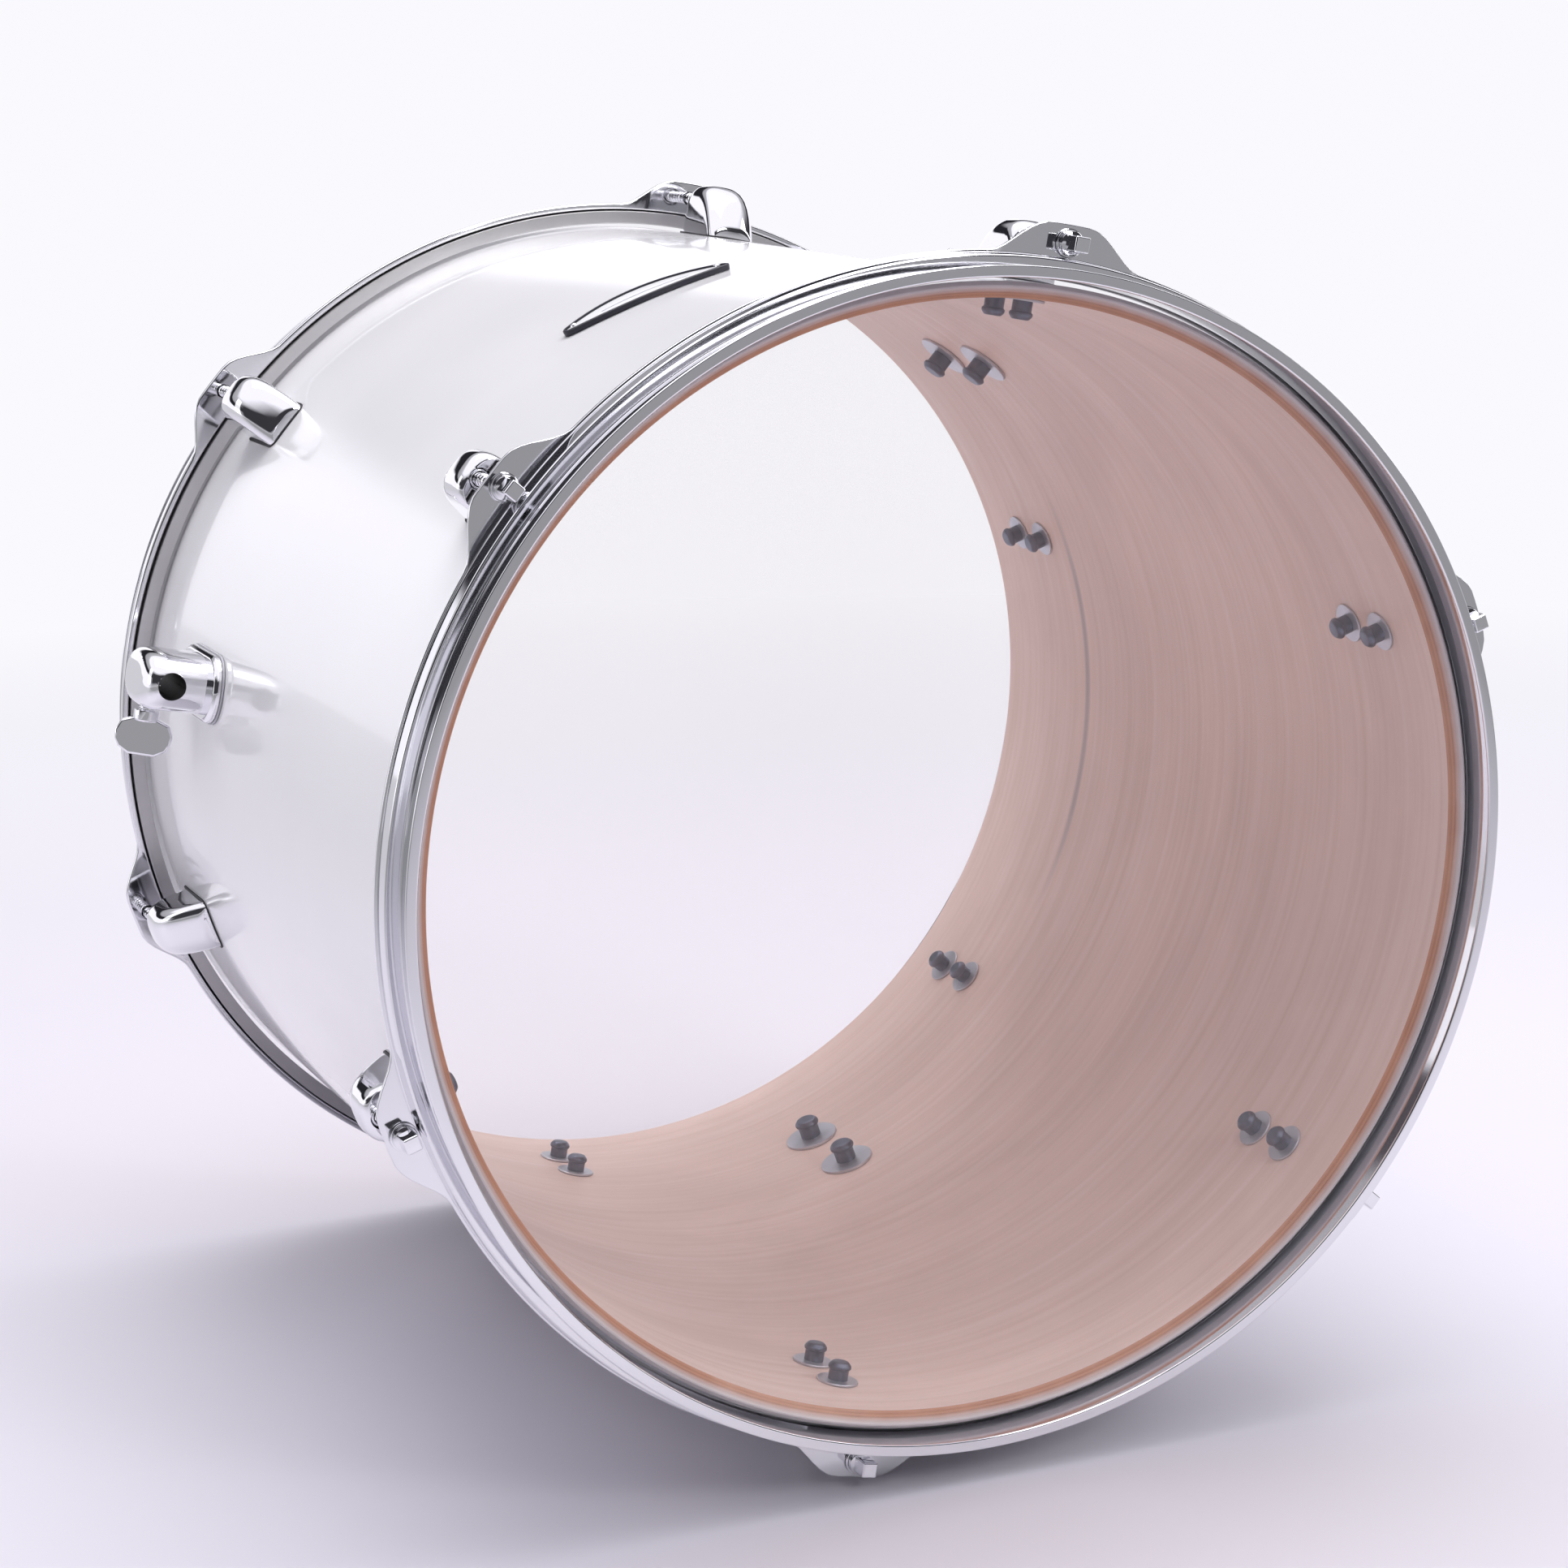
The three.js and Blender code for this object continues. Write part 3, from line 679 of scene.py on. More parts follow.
def endOutline(outline, side):  # heights from the bearing edge become places along the drum
    return [(p[0], side * (halfDepth + p[1])) for p in outline]


def buildHead(s, end, side):
    slotMiddle = (s["slotInside"] + s["slotOutside"]) / 2
    line = [  # middle of the film: flat, over the edge, down the collar and into the slot
        (0, s["filmHeight"]), (100, s["filmHeight"]), (s["flatRadius"], s["filmHeight"]),
        (s["collarRadius"], -2.6), (s["collarRadius"], s["innerTop"] + 4.1),
        (slotMiddle, s["innerTop"] + 1), (slotMiddle, s["slotFloor"] + 1.1),
    ]
    film = rounded(thickLine(line, s["filmThickness"]), 1.2)
    piece = finishMesh(f"{end}Film", turnedShape(endOutline(film, side), s["segments"]), ["film"], sharp=60)
    claim(piece, "drum", "film", f"{end}_head_film")
    channel = [
        (s["fleshOutside"], s["fleshTop"]), (s["slotOutside"], s["fleshTop"]),
        (s["slotOutside"], s["slotFloor"]), (s["slotInside"], s["slotFloor"]),
        (s["slotInside"], s["innerTop"]), (s["fleshInside"], s["innerTop"]),
        (s["fleshInside"], s["fleshBottom"]), (s["fleshOutside"], s["fleshBottom"]),
    ]
    shape = turnedShape(endOutline(rounded(channel, 0.5, 2), side), s["segments"])
    piece = finishMesh(f"{end}FleshHoop", shape, ["aluminium"])
    claim(piece, "drum", "aluminium", f"{end}_flesh_hoop")


for end, side in ends.items():
    buildHead(headSizes, end, side)
print("shell and heads built")

# Triple-flanged hoops, whose lip flares into an ear at each rod.

hoopSizes = {
    "steel": 1.6,
    "stand": 12.4,            # top flange above the bearing edge
    "wallInside": 229.1,
    "flangeWidth": 4.7,
    "flangeEdge": 1.3,
    "skirtInside": 235.3,
    "skirtSpread": 0.4,
    "lipWidth": 1.4,
    "shelf": -4.2,
    "earFace": -10.2,
    "earPlate": 2.0,
    "earNose": 250.6,
    "earHalfAngle": 8.0,      # degrees
    "noseHalfAngle": 2.0,
    "bendRadius": 0.9,
    "holeRadius": 3.45,
    "cornerSteps": 3,
    "segments": 432,
}


def newTree(name, sockets):  # a tree with named inputs, and its inputs as fields
    tree = bpy.data.node_groups.new(name, "GeometryNodeTree")
    for key, kind in sockets.items():
        tree.interface.new_socket(key, in_out="INPUT", socket_type=f"NodeSocket{kind}")
    tree.interface.new_socket("Result", in_out="OUTPUT", socket_type="NodeSocketGeometry")
    board = Board(tree)
    inputs = tree.nodes.new("NodeGroupInput")
    return tree, board, [Field(board, inputs.outputs[k]) for k in range(len(sockets))]


def hoopTree(material):
    tree, board, (ring, count, first, far, half, nose) = newTree("flaredHoop", {
        "Ring": "Geometry", "Ear Count": "Float", "First Ear": "Float", "Ear Reach": "Float",
        "Ear Half Angle": "Float", "Nose Half Angle": "Float"})
    x, y, z = board.parts(board.node("GeometryNodeInputPosition"))
    lip = board.node("GeometryNodeInputNamedAttribute", {"data_type": "FLOAT"}, {"Name": "lip"})
    angle = board.maths("ARCTAN2", y, x)
    pitch = 2 * math.pi / count
    turned = (angle - first) / pitch + 0.5
    share = board.maths("FRACT", turned) - 0.5
    fromEar = board.maths("ABSOLUTE", share * pitch)
    flare = board.node("ShaderNodeMapRange", {"interpolation_type": "SMOOTHSTEP"},
                       {0: fromEar, 1: nose, 2: half, 3: 1.0, 4: 0.0})
    push = flare * lip * far
    cosine = board.maths("COSINE", angle)
    sine = board.maths("SINE", angle)
    offset = board.vector(push * cosine, push * sine, 0.0)
    moved = board.node("GeometryNodeSetPosition", None, {"Geometry": ring, "Offset": offset})
    finishTree(board, moved, material)
    return tree


def finishTree(board, geometry, material):
    realized = board.node("GeometryNodeRealizeInstances", None, {0: geometry})
    painted = board.node("GeometryNodeSetMaterial", None, {0: realized, 2: finishes[material]})
    outputs = board.tree.nodes.new("NodeGroupOutput")
    board.tree.links.new(painted.socket, outputs.inputs[0])


def grown(piece, tree, values):  # runs a tree on a piece and returns the plain mesh
    modifier = piece.modifiers.new(tree.name, "NODES")
    modifier.node_group = tree
    sockets = {item.name: item.identifier for item in tree.interface.items_tree if item.in_out == "INPUT"}
    for name, value in values.items():
        modifier[sockets[name]] = value
    return applied(piece)


def hoopSection(s):
    top = s["stand"]
    tip = s["wallInside"] + s["flangeWidth"]
    wallOutside = s["wallInside"] + s["steel"]
    skirtOutside = s["skirtInside"] + s["steel"]
    spread = skirtOutside + s["skirtSpread"]
    lip = skirtOutside + s["lipWidth"]
    low = s["earFace"] - s["earPlate"]
    return [
        (tip, top, 0), (tip, top - s["flangeEdge"], 0), (wallOutside, top - s["steel"], 0),
        (wallOutside, s["shelf"] + s["steel"], 0), (skirtOutside, s["shelf"] + s["steel"], 0),
        (spread, s["earFace"], 0), (lip, s["earFace"], 1), (lip, low, 1),
        (s["skirtInside"], low, 0), (s["skirtInside"], s["shelf"], 0),
        (s["wallInside"], s["shelf"], 0), (s["wallInside"], top, 0),
    ]


def buildHoop(s, end, side, tree):
    section = hoopSection(s)
    outline = rounded([(r, z) for r, z, lip in section], s["bendRadius"], s["cornerSteps"])
    mesh = meshOf(*turnedMesh(endOutline(outline, side), s["segments"]))
    lips = mesh.attributes.new("lip", "FLOAT", "POINT")
    shares = [lip for r, z, lip in section for step in range(s["cornerSteps"] + 1)] * s["segments"]
    lips.data.foreach_set("value", shares)
    mesh = grown(looseObject("ring", mesh), tree, {
        "Ear Count": 6.0, "First Ear": lugAngles[0],
        "Ear Reach": s["earNose"] - (s["skirtInside"] + s["steel"] + s["lipWidth"]),
        "Ear Half Angle": math.radians(s["earHalfAngle"]),
        "Nose Half Angle": math.radians(s["noseHalfAngle"])})
    faceOutwards(mesh)
    face = side * (halfDepth + s["earFace"])
    hole = cylinderMesh(s["holeRadius"], face - spare, face + spare, 32)
    hole.transform(Matrix.Translation((rodAxis, 0, 0)))
    mesh = cutAway(mesh, *[placedCopy(hole, atAngle(angle)) for angle in lugAngles])
    mesh.materials.clear()
    piece = finishMesh(f"{end}RimHoop", mesh, ["hoopChrome"], sharp=40)
    claim(piece, "drum", "chrome", f"{end}_hoop")


flaredHoop = hoopTree("hoopChrome")
for end, side in ends.items():
    buildHoop(hoopSizes, end, side, flaredHoop)
print("hoops built")

# Threads, rows of screws: node trees used by several pieces.


def threadTree(material):
    tree, board, (host, turns, radius, length, ridge) = newTree("thread", {
        "Host": "Geometry", "Turns": "Float", "Radius": "Float", "Length": "Float", "Ridge": "Float"})
    spiral = board.node("GeometryNodeCurveSpiral", None, {
        "Resolution": 14, "Rotations": turns, "Height": length,
        "Start Radius": radius, "End Radius": radius})
    profile = board.node("GeometryNodeCurvePrimitiveCircle", {"mode": "RADIUS"}, {
        "Resolution": 4, "Radius": ridge})
    swept = board.node("GeometryNodeCurveToMesh", None, {
        "Curve": spiral, "Profile Curve": profile, "Fill Caps": True})
    finishTree(board, swept, material)
    return tree


def rowTree(material):
    tree, board, (shape, perRow, rows, first, low, spacing) = newTree(f"{material}Rows", {
        "Shape": "Geometry", "Per Row": "Int", "Rows": "Int",
        "First Angle": "Float", "First Height": "Float", "Row Spacing": "Float"})
    index = board.node("GeometryNodeInputIndex")
    row = board.maths("FLOOR", (index + 0.5) / perRow)
    angle = first + (index - row * perRow) * (2 * math.pi) / perRow
    points = board.node("GeometryNodePoints", None, {
        "Count": perRow * rows, "Position": board.vector(0.0, 0.0, low + row * spacing)})
    placed = board.node("GeometryNodeInstanceOnPoints", None, {
        "Points": points, "Instance": shape, "Rotation": board.vector(0.0, 0.0, angle)})
    finishTree(board, placed, material)
    return tree


def inRows(name, mesh, tree, perRow, rows, first, low, spacing, mat):
    mesh = grown(looseObject("shape", mesh), tree, {
        "Per Row": perRow, "Rows": rows, "First Angle": first, "First Height": low, "Row Spacing": spacing})
    mesh.materials.clear()
    return finishMesh(name, mesh, [mat])


def joined(*meshes):
    work = bmesh.new()
    for mesh in meshes:
        work.from_mesh(mesh)
    result = bpy.data.meshes.new("joined")
    work.to_mesh(result)
    work.free()
    return result


def threadMesh(core, ridge, start, length, pitch):
    thread = grown(looseObject("host", bpy.data.meshes.new("host")), chromeThread, {
        "Turns": length / pitch, "Radius": core, "Length": length, "Ridge": ridge})
    thread.transform(Matrix.Translation((0, 0, start)))
    faceOutwards(thread)
    return thread


chromeThread = threadTree("chrome")

# Tension rods and their washers.

rodSizes = {
    "radius": 2.65,
    "core": 2.3,
    "collarRadius": 4.9,
    "collarThickness": 2.0,
    "keySquare": 6.3,
    "keyHeight": 8.4,
    "keyBevel": 0.7,
    "tipChamfer": 0.6,
    "plainNeck": 3.4,         # between the thread and the collar
    "pitch": 1.0583,
    "washerBore": 2.95,
}


def rodMesh(s):
    top = rodAlong[1]
    shoulder = top - s["keyHeight"]
    seat = shoulder - s["collarThickness"]
    tip = rodAlong[0]
    stem = turnedShape(rounded([
        (0, tip), (s["core"] - 0.5, tip), (s["core"], tip + s["tipChamfer"]),
        (s["core"], seat - 3.2), (s["radius"], seat - 2.8),
        (s["radius"], seat), (s["collarRadius"], seat), (s["collarRadius"], shoulder),
        (s["radius"], shoulder + 0.5),
        (0, shoulder + 0.5)], 0.4, 2), 28)
    half = s["keySquare"] / 2
    key = hullMesh([(x, y, z) for x in (-half, half) for y in (-half, half)
                    for z in (shoulder - 0.6, top)])
    length = seat - s["plainNeck"] - tip - s["tipChamfer"]
    ridge = s["radius"] - s["core"]
    thread = threadMesh(s["core"], ridge, tip + s["tipChamfer"], length, s["pitch"])
    mesh = joined(stem, bevelled(key, s["keyBevel"], 3), thread)
    mesh.transform(Matrix.Translation((rodAxis, 0, 0)))
    return mesh


def washerMesh(s):
    low, high = washerAlong
    outline = rounded([(s["washerBore"], low), (washerOut[1] - rodAxis, low),
                       (washerOut[1] - rodAxis, high), (s["washerBore"], high)], 0.4, 2)
    return turnedShape(outline, 40, Matrix.Translation((rodAxis, 0, 0)))


rodShape = rodMesh(rodSizes)
washerShape = washerMesh(rodSizes)
for end, side in ends.items():
    for i, angle in enumerate(lugAngles, 1):
        piece = finishMesh(f"{end}Rod{i}", placedCopy(rodShape, atAngle(angle, side)), ["chrome"])
        claim(piece, f"{end}_tension_rod_{i}", "chrome", f"{end}_tension_rod_{i}")
        piece = finishMesh(f"{end}Washer{i}", placedCopy(washerShape, atAngle(angle, side)), ["chrome"])
        claim(piece, f"{end}_washer_{i}", "chrome", f"{end}_washer_{i}")
print("rods and washers built")

# Lugs.

lugSizes = {
    "archHeight": 11,        # from the crown down to the upright sides
    "arch": 2.7,             # power of the arch: 2 is half an ellipse
    # place down from the mouth, fall of the crown, share of the width
    "rings": [(0, 3.4, 0.93), (0.8, 2.1, 0.965), (2.2, 1.0, 0.99), (4.2, 0.3, 1), (6.5, 0, 1), (14, 0, 1),
              (17, 0.5, 1), (20, 1.6, 1), (23, 3.5, 1), (26, 6.3, 1), (29, 10, 1), (31.5, 13.8, 0.99),
              (33.6, 17.4, 0.97), (35, 20, 0.93)],
    "archSteps": 32,
    "mouthRadius": 4.5,
    "mouthDepth": 4,
    "seatGap": 0.3,
    "boreGap": 0.3,
    "gasketMargin": 0.8,
    "gasketCorner": 3,
    "nutRadius": 4.1,
}


def seatTool(radius, low, high):  # stands for the shell when its curve is cut out of a foot
    return cylinderMesh(radius, low, high, seatSegments)


def lugMesh(s):
    mouth, tail = lugAlong[1], lugAlong[0]
    points = []
    for down, fall, share in s["rings"]:
        half, high = share * lugSide[1], lugOut[1] - fall
        points += [(shellRadius - 5, half, mouth - down), (shellRadius - 5, -half, mouth - down)]
        for k in range(s["archSteps"] + 1):
            turn = math.pi * k / s["archSteps"]
            y = math.copysign(abs(math.cos(turn)) ** (2 / s["arch"]), math.cos(turn))
            rise = abs(math.sin(turn)) ** (2 / s["arch"])
            points.append((high - s["archHeight"] * (1 - rise), half * y, mouth - down))
    body = hullMesh(points)
    recess = cylinderMesh(s["mouthRadius"], mouth - s["mouthDepth"], mouth + spare, 40)
    bore = cylinderMesh(rodSizes["radius"] + s["boreGap"], rodAlong[0] - 3, mouth + 1, 32)
    for tool in (recess, bore):
        tool.transform(Matrix.Translation((rodAxis, 0, 0)))
    seat = seatTool(shellRadius + s["seatGap"], tail - spare, mouth + spare)
    return bevelled(cutAway(cutAway(body, recess), bore, seat), 0.35, 2, 50)


def lugGasketMesh(s):
    margin = s["gasketMargin"]
    half = lugSide[1] + margin
    low, high = lugAlong[0] - margin, lugAlong[1] + margin
    cut = s["gasketCorner"]
    corners = [(half, low + cut), (half, high), (half - cut, low)]
    block = hullMesh([(x, sign * y, z) for x in (shellRadius - 5, shellRadius + 5)
                      for y, z in corners for sign in (-1, 1)])
    outside = seatTool(shellRadius + s["seatGap"] + 0.35, low - spare, high + spare)
    shell = seatTool(shellRadius + 0.02, low - spare, high + spare)
    return cutAway(common(bevelled(block, 1.5, 3, 40), outside), shell)


def nutMesh(s):  # swivel nut that shows as a ring in the lug's mouth
    face = lugAlong[1] - 1.2
    outline = rounded([(rodSizes["radius"] + 0.25, face - 2.5), (s["nutRadius"], face - 2.5),
                       (s["nutRadius"], face - 0.6), (s["nutRadius"] - 0.5, face),
                       (rodSizes["radius"] + 0.25, face)], 0.3, 2)
    return turnedShape(outline, 36, Matrix.Translation((rodAxis, 0, 0)))


lugShape, lugGasketShape, nutShape = lugMesh(lugSizes), lugGasketMesh(lugSizes), nutMesh(lugSizes)
chromeRows = rowTree("chrome")
rubberRows = rowTree("rubber")
for end, side in ends.items():
    for i, angle in enumerate(lugAngles, 1):
        piece = finishMesh(f"{end}Lug{i}", placedCopy(lugShape, atAngle(angle, side)), ["chrome"], sharp=45)
        claim(piece, "drum", "chrome", f"{end}_lug_{i}")
    piece = inRows(f"{end}LugGaskets", placedCopy(lugGasketShape, atAngle(0, side)), rubberRows,
                   6, 1, lugAngles[0], 0.0, 0.0, "rubber")
    claim(piece, "drum", "rubber")
    piece = inRows(f"{end}SwivelNuts", placedCopy(nutShape, atAngle(0, side)), chromeRows,
                   6, 1, lugAngles[0], 0.0, 0.0, "chrome")
    claim(piece, "drum", "chrome")
print("lugs built")

# Leg brackets.

bracketSizes = {
    "halfWidth": 13,
    "halfLength": 23,
    "flangeThickness": 3,
    "flangeCorner": 14,
    "flangeBevel": 1.5,
    "gasketThickness": 0.8,
    "gasketRim": 0.6,
    "bulge": 2.6,            # power of the body's oval section: 2 is an ellipse
    # place below the crown, share of the full width
    "crownRings": [(10, 1), (6, 0.98), (3.6, 0.92), (1.8, 0.82), (0.6, 0.68), (0, 0.48)],
    "seatGap": 0.6,
    "gasketGap": 0.3,
    "legHoleRadius": 6,
    "legHoleOffset": 20.5,
    "screwAlong": -12,
    "screwRadius": 3.8,
}
bracketReach = (bracketMiddle - 60, bracketMiddle + 60)
legAxis = shellRadius + bracketSizes["legHoleOffset"]
screwHeight = bracketMiddle + bracketSizes["screwAlong"]
screwPlace = Matrix.Translation((legAxis, 0, screwHeight)) @ Matrix.Rotation(math.radians(-90), 4, "X")


def roundedPlate(x, halfWidth, halfLength, corner):
    points = []
    for end in (-1, 1):
        for k in range(7):
            turn = math.pi / 2 * k / 6
            y = halfWidth - corner + corner * math.cos(turn)
            z = bracketMiddle + end * (halfLength - corner + corner * math.sin(turn))
            points += [(x, y, z), (x, -y, z)]
    return points


def ovalRing(x, share, s, steps=72):
    points = []
    for k in range(steps):
        turn = 2 * math.pi * k / steps
        y, z = [math.copysign(abs(w) ** (2 / s["bulge"]), w) for w in (math.cos(turn), math.sin(turn))]
        points.append((x, share * s["halfWidth"] * y, bracketMiddle + share * s["halfLength"] * z))
    return points


def bracketMesh(s):
    root, top = shellRadius - 5, bracketOut[1]
    points = ovalRing(root, 1, s)
    for below, share in s["crownRings"]:
        points += ovalRing(top - below, share, s)
    body = hullMesh(points)
    flangeTop = shellRadius + s["gasketThickness"] + s["seatGap"] + s["flangeThickness"]
    halfWidth, halfLength = bracketSide[1], (bracketAlong[1] - bracketAlong[0]) / 2
    bevel = s["flangeBevel"]
    plate = hullMesh(
        roundedPlate(root, halfWidth, halfLength, s["flangeCorner"])
        + roundedPlate(flangeTop - bevel, halfWidth, halfLength, s["flangeCorner"])
        + roundedPlate(flangeTop, halfWidth - bevel, halfLength - bevel, s["flangeCorner"] - bevel))
    plate = bevelled(plate, 0.5, 3, 30)
    mesh = combined("UNION", body, plate)
    reach = s["halfLength"] + spare
    legHole = cylinderMesh(s["legHoleRadius"], bracketMiddle - reach, bracketMiddle + reach, 56)
    legHole.transform(Matrix.Translation((legAxis, 0, 0)))
    screwBore = cylinderMesh(s["screwRadius"] + 0.3, 0, s["halfWidth"] + spare, 36)
    screwBore.transform(screwPlace)
    seat = seatTool(shellRadius + s["gasketThickness"] + s["seatGap"], *bracketReach)
    return bevelled(cutAway(cutAway(mesh, legHole, screwBore), seat), 0.6, 2, 55)


def bracketGasketMesh(s):
    rim = s["gasketRim"]
    halfWidth, halfLength = bracketSide[1] + rim, (bracketAlong[1] - bracketAlong[0]) / 2 + rim
    block = hullMesh([p for x in (shellRadius - spare, shellRadius + spare)
                      for p in roundedPlate(x, halfWidth, halfLength, s["flangeCorner"] + rim)])
    inner = shellRadius + s["gasketGap"]
    outside = seatTool(inner + s["gasketThickness"], *bracketReach)
    return cutAway(common(block, outside), seatTool(inner, *bracketReach))


# Wing screws.

wingSizes = {
    "padFace": 6.4,
    "padThickness": 3,
    "padGap": 0.3,
    "span": 25,
    "rise": 16.5,
    "thickness": 5,
    "stand": 6.2,
    "twist": math.radians(20),
    "collarMargin": 1.8,
    "collarLength": 5,
    "collarRise": 0.3,       # share of the collar's length above the wing's foot
    "pitch": 1.25,
    "ridge": 0.42,
    "threadDepth": 0.45,
    "bevel": 1.1,
    # share of the half span and of the rise, up one side of the wing
    "outline": [(0.42, 0), (0.84, 0.12), (1, 0.4), (0.97, 0.64), (0.84, 0.84), (0.46, 1)],
}


def wingScrewMesh(s):
    radius = bracketSizes["screwRadius"]
    start = s["padFace"] + s["padThickness"] + s["padGap"]
    root = bracketSizes["halfWidth"] + s["stand"]
    high = root + s["collarRise"] * s["collarLength"]
    low = high - s["collarLength"]
    core = radius - s["threadDepth"]
    wide = radius + s["collarMargin"]
    stem = turnedShape(rounded([
        (0, start), (core - 0.4, start), (core, start + 0.5), (core, low), (wide, low),
        (wide, high - 0.6), (wide - 0.8, high), (0, high)], 0.4, 2), 36)
    thread = threadMesh(core, s["ridge"], start + 0.4, low - start - 0.8, s["pitch"])
    right = [(x * s["span"] / 2, y * s["rise"]) for x, y in s["outline"]]
    outline = right + [(-x, y) for x, y in reversed(right)]
    half = s["thickness"] / 2
    wing = hullMesh([(x, y, root + z) for x, z in outline for y in (-half, half)])
    wing = bevelled(wing, s["bevel"], 4, 40)
    wing.transform(Matrix.Rotation(s["twist"], 4, "Z"))
    mesh = joined(stem, thread, wing)
    mesh.transform(screwPlace)
    return mesh


bracketShape, wingShape = bracketMesh(bracketSizes), wingScrewMesh(wingSizes)
bracketGasketShape = bracketGasketMesh(bracketSizes)
# the walls of the leg hole take the painted shade finish, near black for the shade inside the hole
inHole = [int(math.hypot(p.center.x - legAxis, p.center.y) < bracketSizes["legHoleRadius"] + 0.05)
          for p in bracketShape.polygons]
for i, angle in enumerate(bracketAngles, 1):
    piece = finishMesh(f"legBracket{i}", placedCopy(bracketShape, atAngle(angle)), ["chrome", "boreShade"],
                       indices=inHole)
    claim(piece, "drum", "chrome", f"leg_bracket_{i}")
    piece = finishMesh(f"bracketGasket{i}", placedCopy(bracketGasketShape, atAngle(angle)), ["paleGasket"])
    claim(piece, "drum", "rubber", f"leg_bracket_gasket_{i}")
    piece = finishMesh(f"wingScrew{i}", placedCopy(wingShape, atAngle(angle)), ["chrome"])
    claim(piece, f"wing_screw_{i}", "chrome", f"wing_screw_{i}")
print("leg brackets built")

# Screws and washers inside the shell.

innerSizes = {
    "lugDepth": 51,          # middle of a lug's pair, below the edge
    "lugSpacing": 24,
    "bracketSpacing": 41,
    "lugWasher": (2.6, 8.5, 1.0),      # bore, radius, thickness
    "bracketWasher": (3.2, 12.5, 1.4),
    "lugStud": (4.0, 4.7, 8.6),        # shank radius, head radius, height
    "bracketStud": (4.8, 5.8, 10.5),
    "washerGap": 0.15,
    "studGap": 0.3,
}


def innerWasher(bore, radius, thickness):
    low = innerSizes["washerGap"]
    high = low + thickness
    outline = rounded([(bore, low), (radius, low), (radius, high), (bore, high)], 0.25, 1)
    return turnedShape(outline, 36, inwardPlace)


def innerStud(shank, head, height):
    neck = height - 3.2
    low = innerSizes["studGap"]
    outline = rounded([(0, low), (shank, low), (shank, neck), (head, neck + 0.4), (head, neck + 1.6),
                       (head - 1.4, height), (0, height)], 0.5, 2)
    return turnedShape(outline, 24, inwardPlace)


inwardPlace = Matrix.Translation((shellInside, 0, 0)) @ Matrix.Rotation(math.radians(-90), 4, "Y")
zincRows, washerRows = rowTree("zinc"), rowTree("washer")


def innerSet(name, washer, stud, perRow, first, middle, spacing):
    low = middle - spacing / 2
    place = (perRow, 2, first, low, spacing)
    claim(inRows(f"{name}Washers", innerWasher(*washer), washerRows, *place, "washer"), "drum", "chrome")
    claim(inRows(f"{name}Studs", innerStud(*stud), zincRows, *place, "zinc"), "drum", "chrome")


for end, side in ends.items():
    innerSet(f"{end}LugScrew", innerSizes["lugWasher"], innerSizes["lugStud"], 6, lugAngles[0],
             side * (halfDepth - innerSizes["lugDepth"]), innerSizes["lugSpacing"])
innerSet("bracketScrew", innerSizes["bracketWasher"], innerSizes["bracketStud"], 3, bracketAngles[0],
         bracketMiddle, innerSizes["bracketSpacing"])
print("inner screws built")

# Badge.

badgeSizes = {
    "halfLength": 38,
    "halfWidth": 10.9,
    "rim": 1.1,
    "fieldHeight": 1.5,
    "thickness": 2.3,
    "bluntness": 2.6,        # radius of the oval's rounded tips
    "stand": 0.3,
    "lineRise": 0.12,
    "line": (20, 0.5, 0.3),  # half length, half width, tip radius
    "chamfer": 0.25,
    "steps": 40,
}
badgeAngle = angleOf("badge")
badgeMiddle = sum(nodeSpan("badge")[2]) / 2


def ontoShell(points):  # sideways, along and height become a place on the curve of the shell
    placed = []
    for across, along, height in points:
        turn = badgeAngle + across / (shellRadius + badgeSizes["stand"])
        r = shellRadius + badgeSizes["stand"] + height
        placed.append((r * math.cos(turn), r * math.sin(turn), badgeMiddle + along))
    return placed


def ovalLoop(halfLength, halfWidth, tip, steps):  # a pointed oval with small round tips
    side = []
    for i in range(steps + 1):
        share = -math.cos(math.pi * i / steps)
        fromTip = min(halfLength * (1 - abs(share)), tip)
        rounding = math.sqrt(max(0, tip * tip - (tip - fromTip) ** 2))
        side.append((share * halfLength, (halfWidth - tip) * (1 - share * share) + rounding))
    return side + [(across, -along) for across, along in side[-2:0:-1]]


def ovalSlab(halfLength, halfWidth, tip, heights, steps):
    loop = ovalLoop(halfLength, halfWidth, tip, steps)
    count = len(loop)
    points = [(across, along, height) for height in heights for across, along in loop]
    faces = [(k, (k + 1) % count, count + (k + 1) % count, count + k) for k in range(count)]
    for base in (0, count):
        faces += [(base + k, base + k + 1, base + count - 1 - k, base + (count - k) % count)
                  for k in range(1, count // 2 - 1)]
        middle = base + count // 2
        faces += [(base, base + 1, base + count - 1), (middle - 1, middle, middle + 1)]
    return points, faces


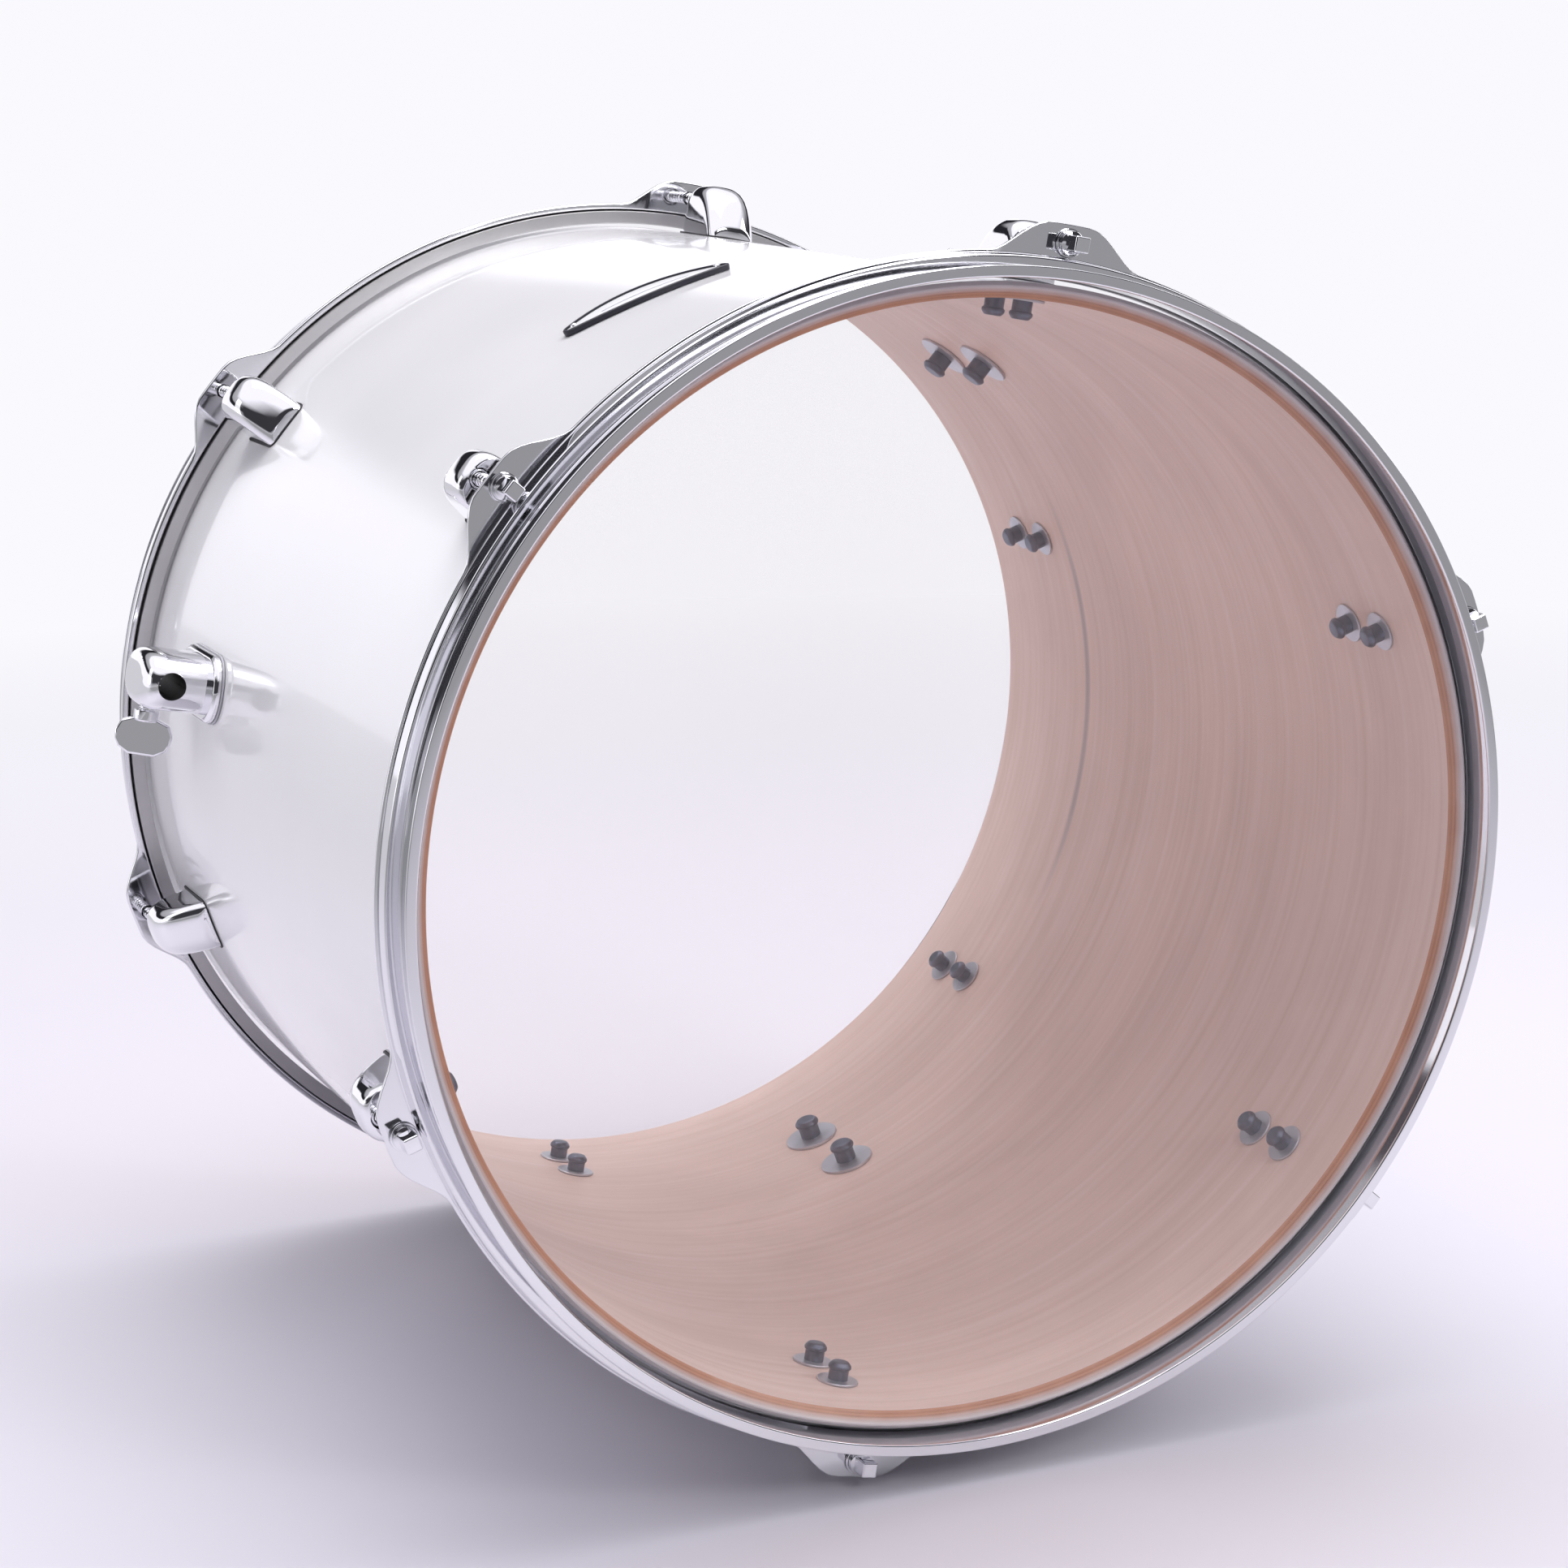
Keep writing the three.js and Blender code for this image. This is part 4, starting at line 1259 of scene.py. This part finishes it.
def ovalRim(halfLength, halfWidth, tip, width, heights, chamfer, steps):
    outer = ovalLoop(halfLength, halfWidth, tip, steps)
    inner = ovalLoop(halfLength - width, halfWidth - width, tip - width, steps)
    count = len(outer)
    low, high = heights
    points = []
    for (a, b), (c, d) in zip(outer, inner):
        eased = (a + 0.3 * (c - a), b + 0.3 * (d - b), high)
        points += [(a, b, low), (a, b, high - chamfer), eased, (c, d, high), (c, d, low)]
    faces = []
    for k in range(count):
        here, following = 5 * k, 5 * ((k + 1) % count)
        faces += [(here + j, here + (j + 1) % 5, following + (j + 1) % 5, following + j) for j in range(5)]
    return points, faces


def flatPiece(name, points, faces, mat):
    mesh = meshOf(ontoShell(points), faces)
    faceOutwards(mesh)
    return finishMesh(name, mesh, [mat], sharp=30)


def buildBadge(s):
    size = (s["halfLength"], s["halfWidth"], s["bluntness"])
    rim = ovalRim(*size, s["rim"], (0, s["thickness"]), s["chamfer"], s["steps"])
    claim(flatPiece("badgeRim", *rim, "badgeBlack"), "drum", "badge", "badge")
    inside = [size[k] - s["rim"] + 0.05 for k in range(3)]
    field = ovalSlab(*inside, (0.05, s["fieldHeight"]), s["steps"])
    claim(flatPiece("badgeField", *field, "badgeWhite"), "drum", "badge")
    line = ovalSlab(*s["line"], (s["fieldHeight"] - 0.1, s["fieldHeight"] + s["lineRise"]), 24)
    claim(flatPiece("badgeLine", *line, "badgeGrey"), "drum", "badge")


buildBadge(badgeSizes)
for i in (1, 2):
    low, high = nodeSpan(f"badge_pin_{i}")[0]
    swing = angleOf(f"badge_pin_{i}")
    high += badgeSizes["thickness"] - 1
    outline = [(0, low), (0.9, low), (0.9, high - 0.6), (1.5, high - 0.55),
               (1.3, high - 0.2), (0.7, high + 0.1), (0, high + 0.2)]
    place = (Matrix.Rotation(swing, 4, "Z") @ Matrix.Translation((0, 0, badgeMiddle))
             @ Matrix.Rotation(math.radians(90), 4, "Y"))
    mesh = turnedShape(outline, 24, place)
    claim(finishMesh(f"badgePin{i}", mesh, ["chrome"]), "drum", "chrome", f"badge_pin_{i}")
print("badge built")

# Packed pieces that stay as they are.

for i in range(1, 4):
    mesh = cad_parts[f"leg_clamp_pad_{i}"].data
    mesh.materials.clear()
    mesh.materials.append(finishes["brass"])
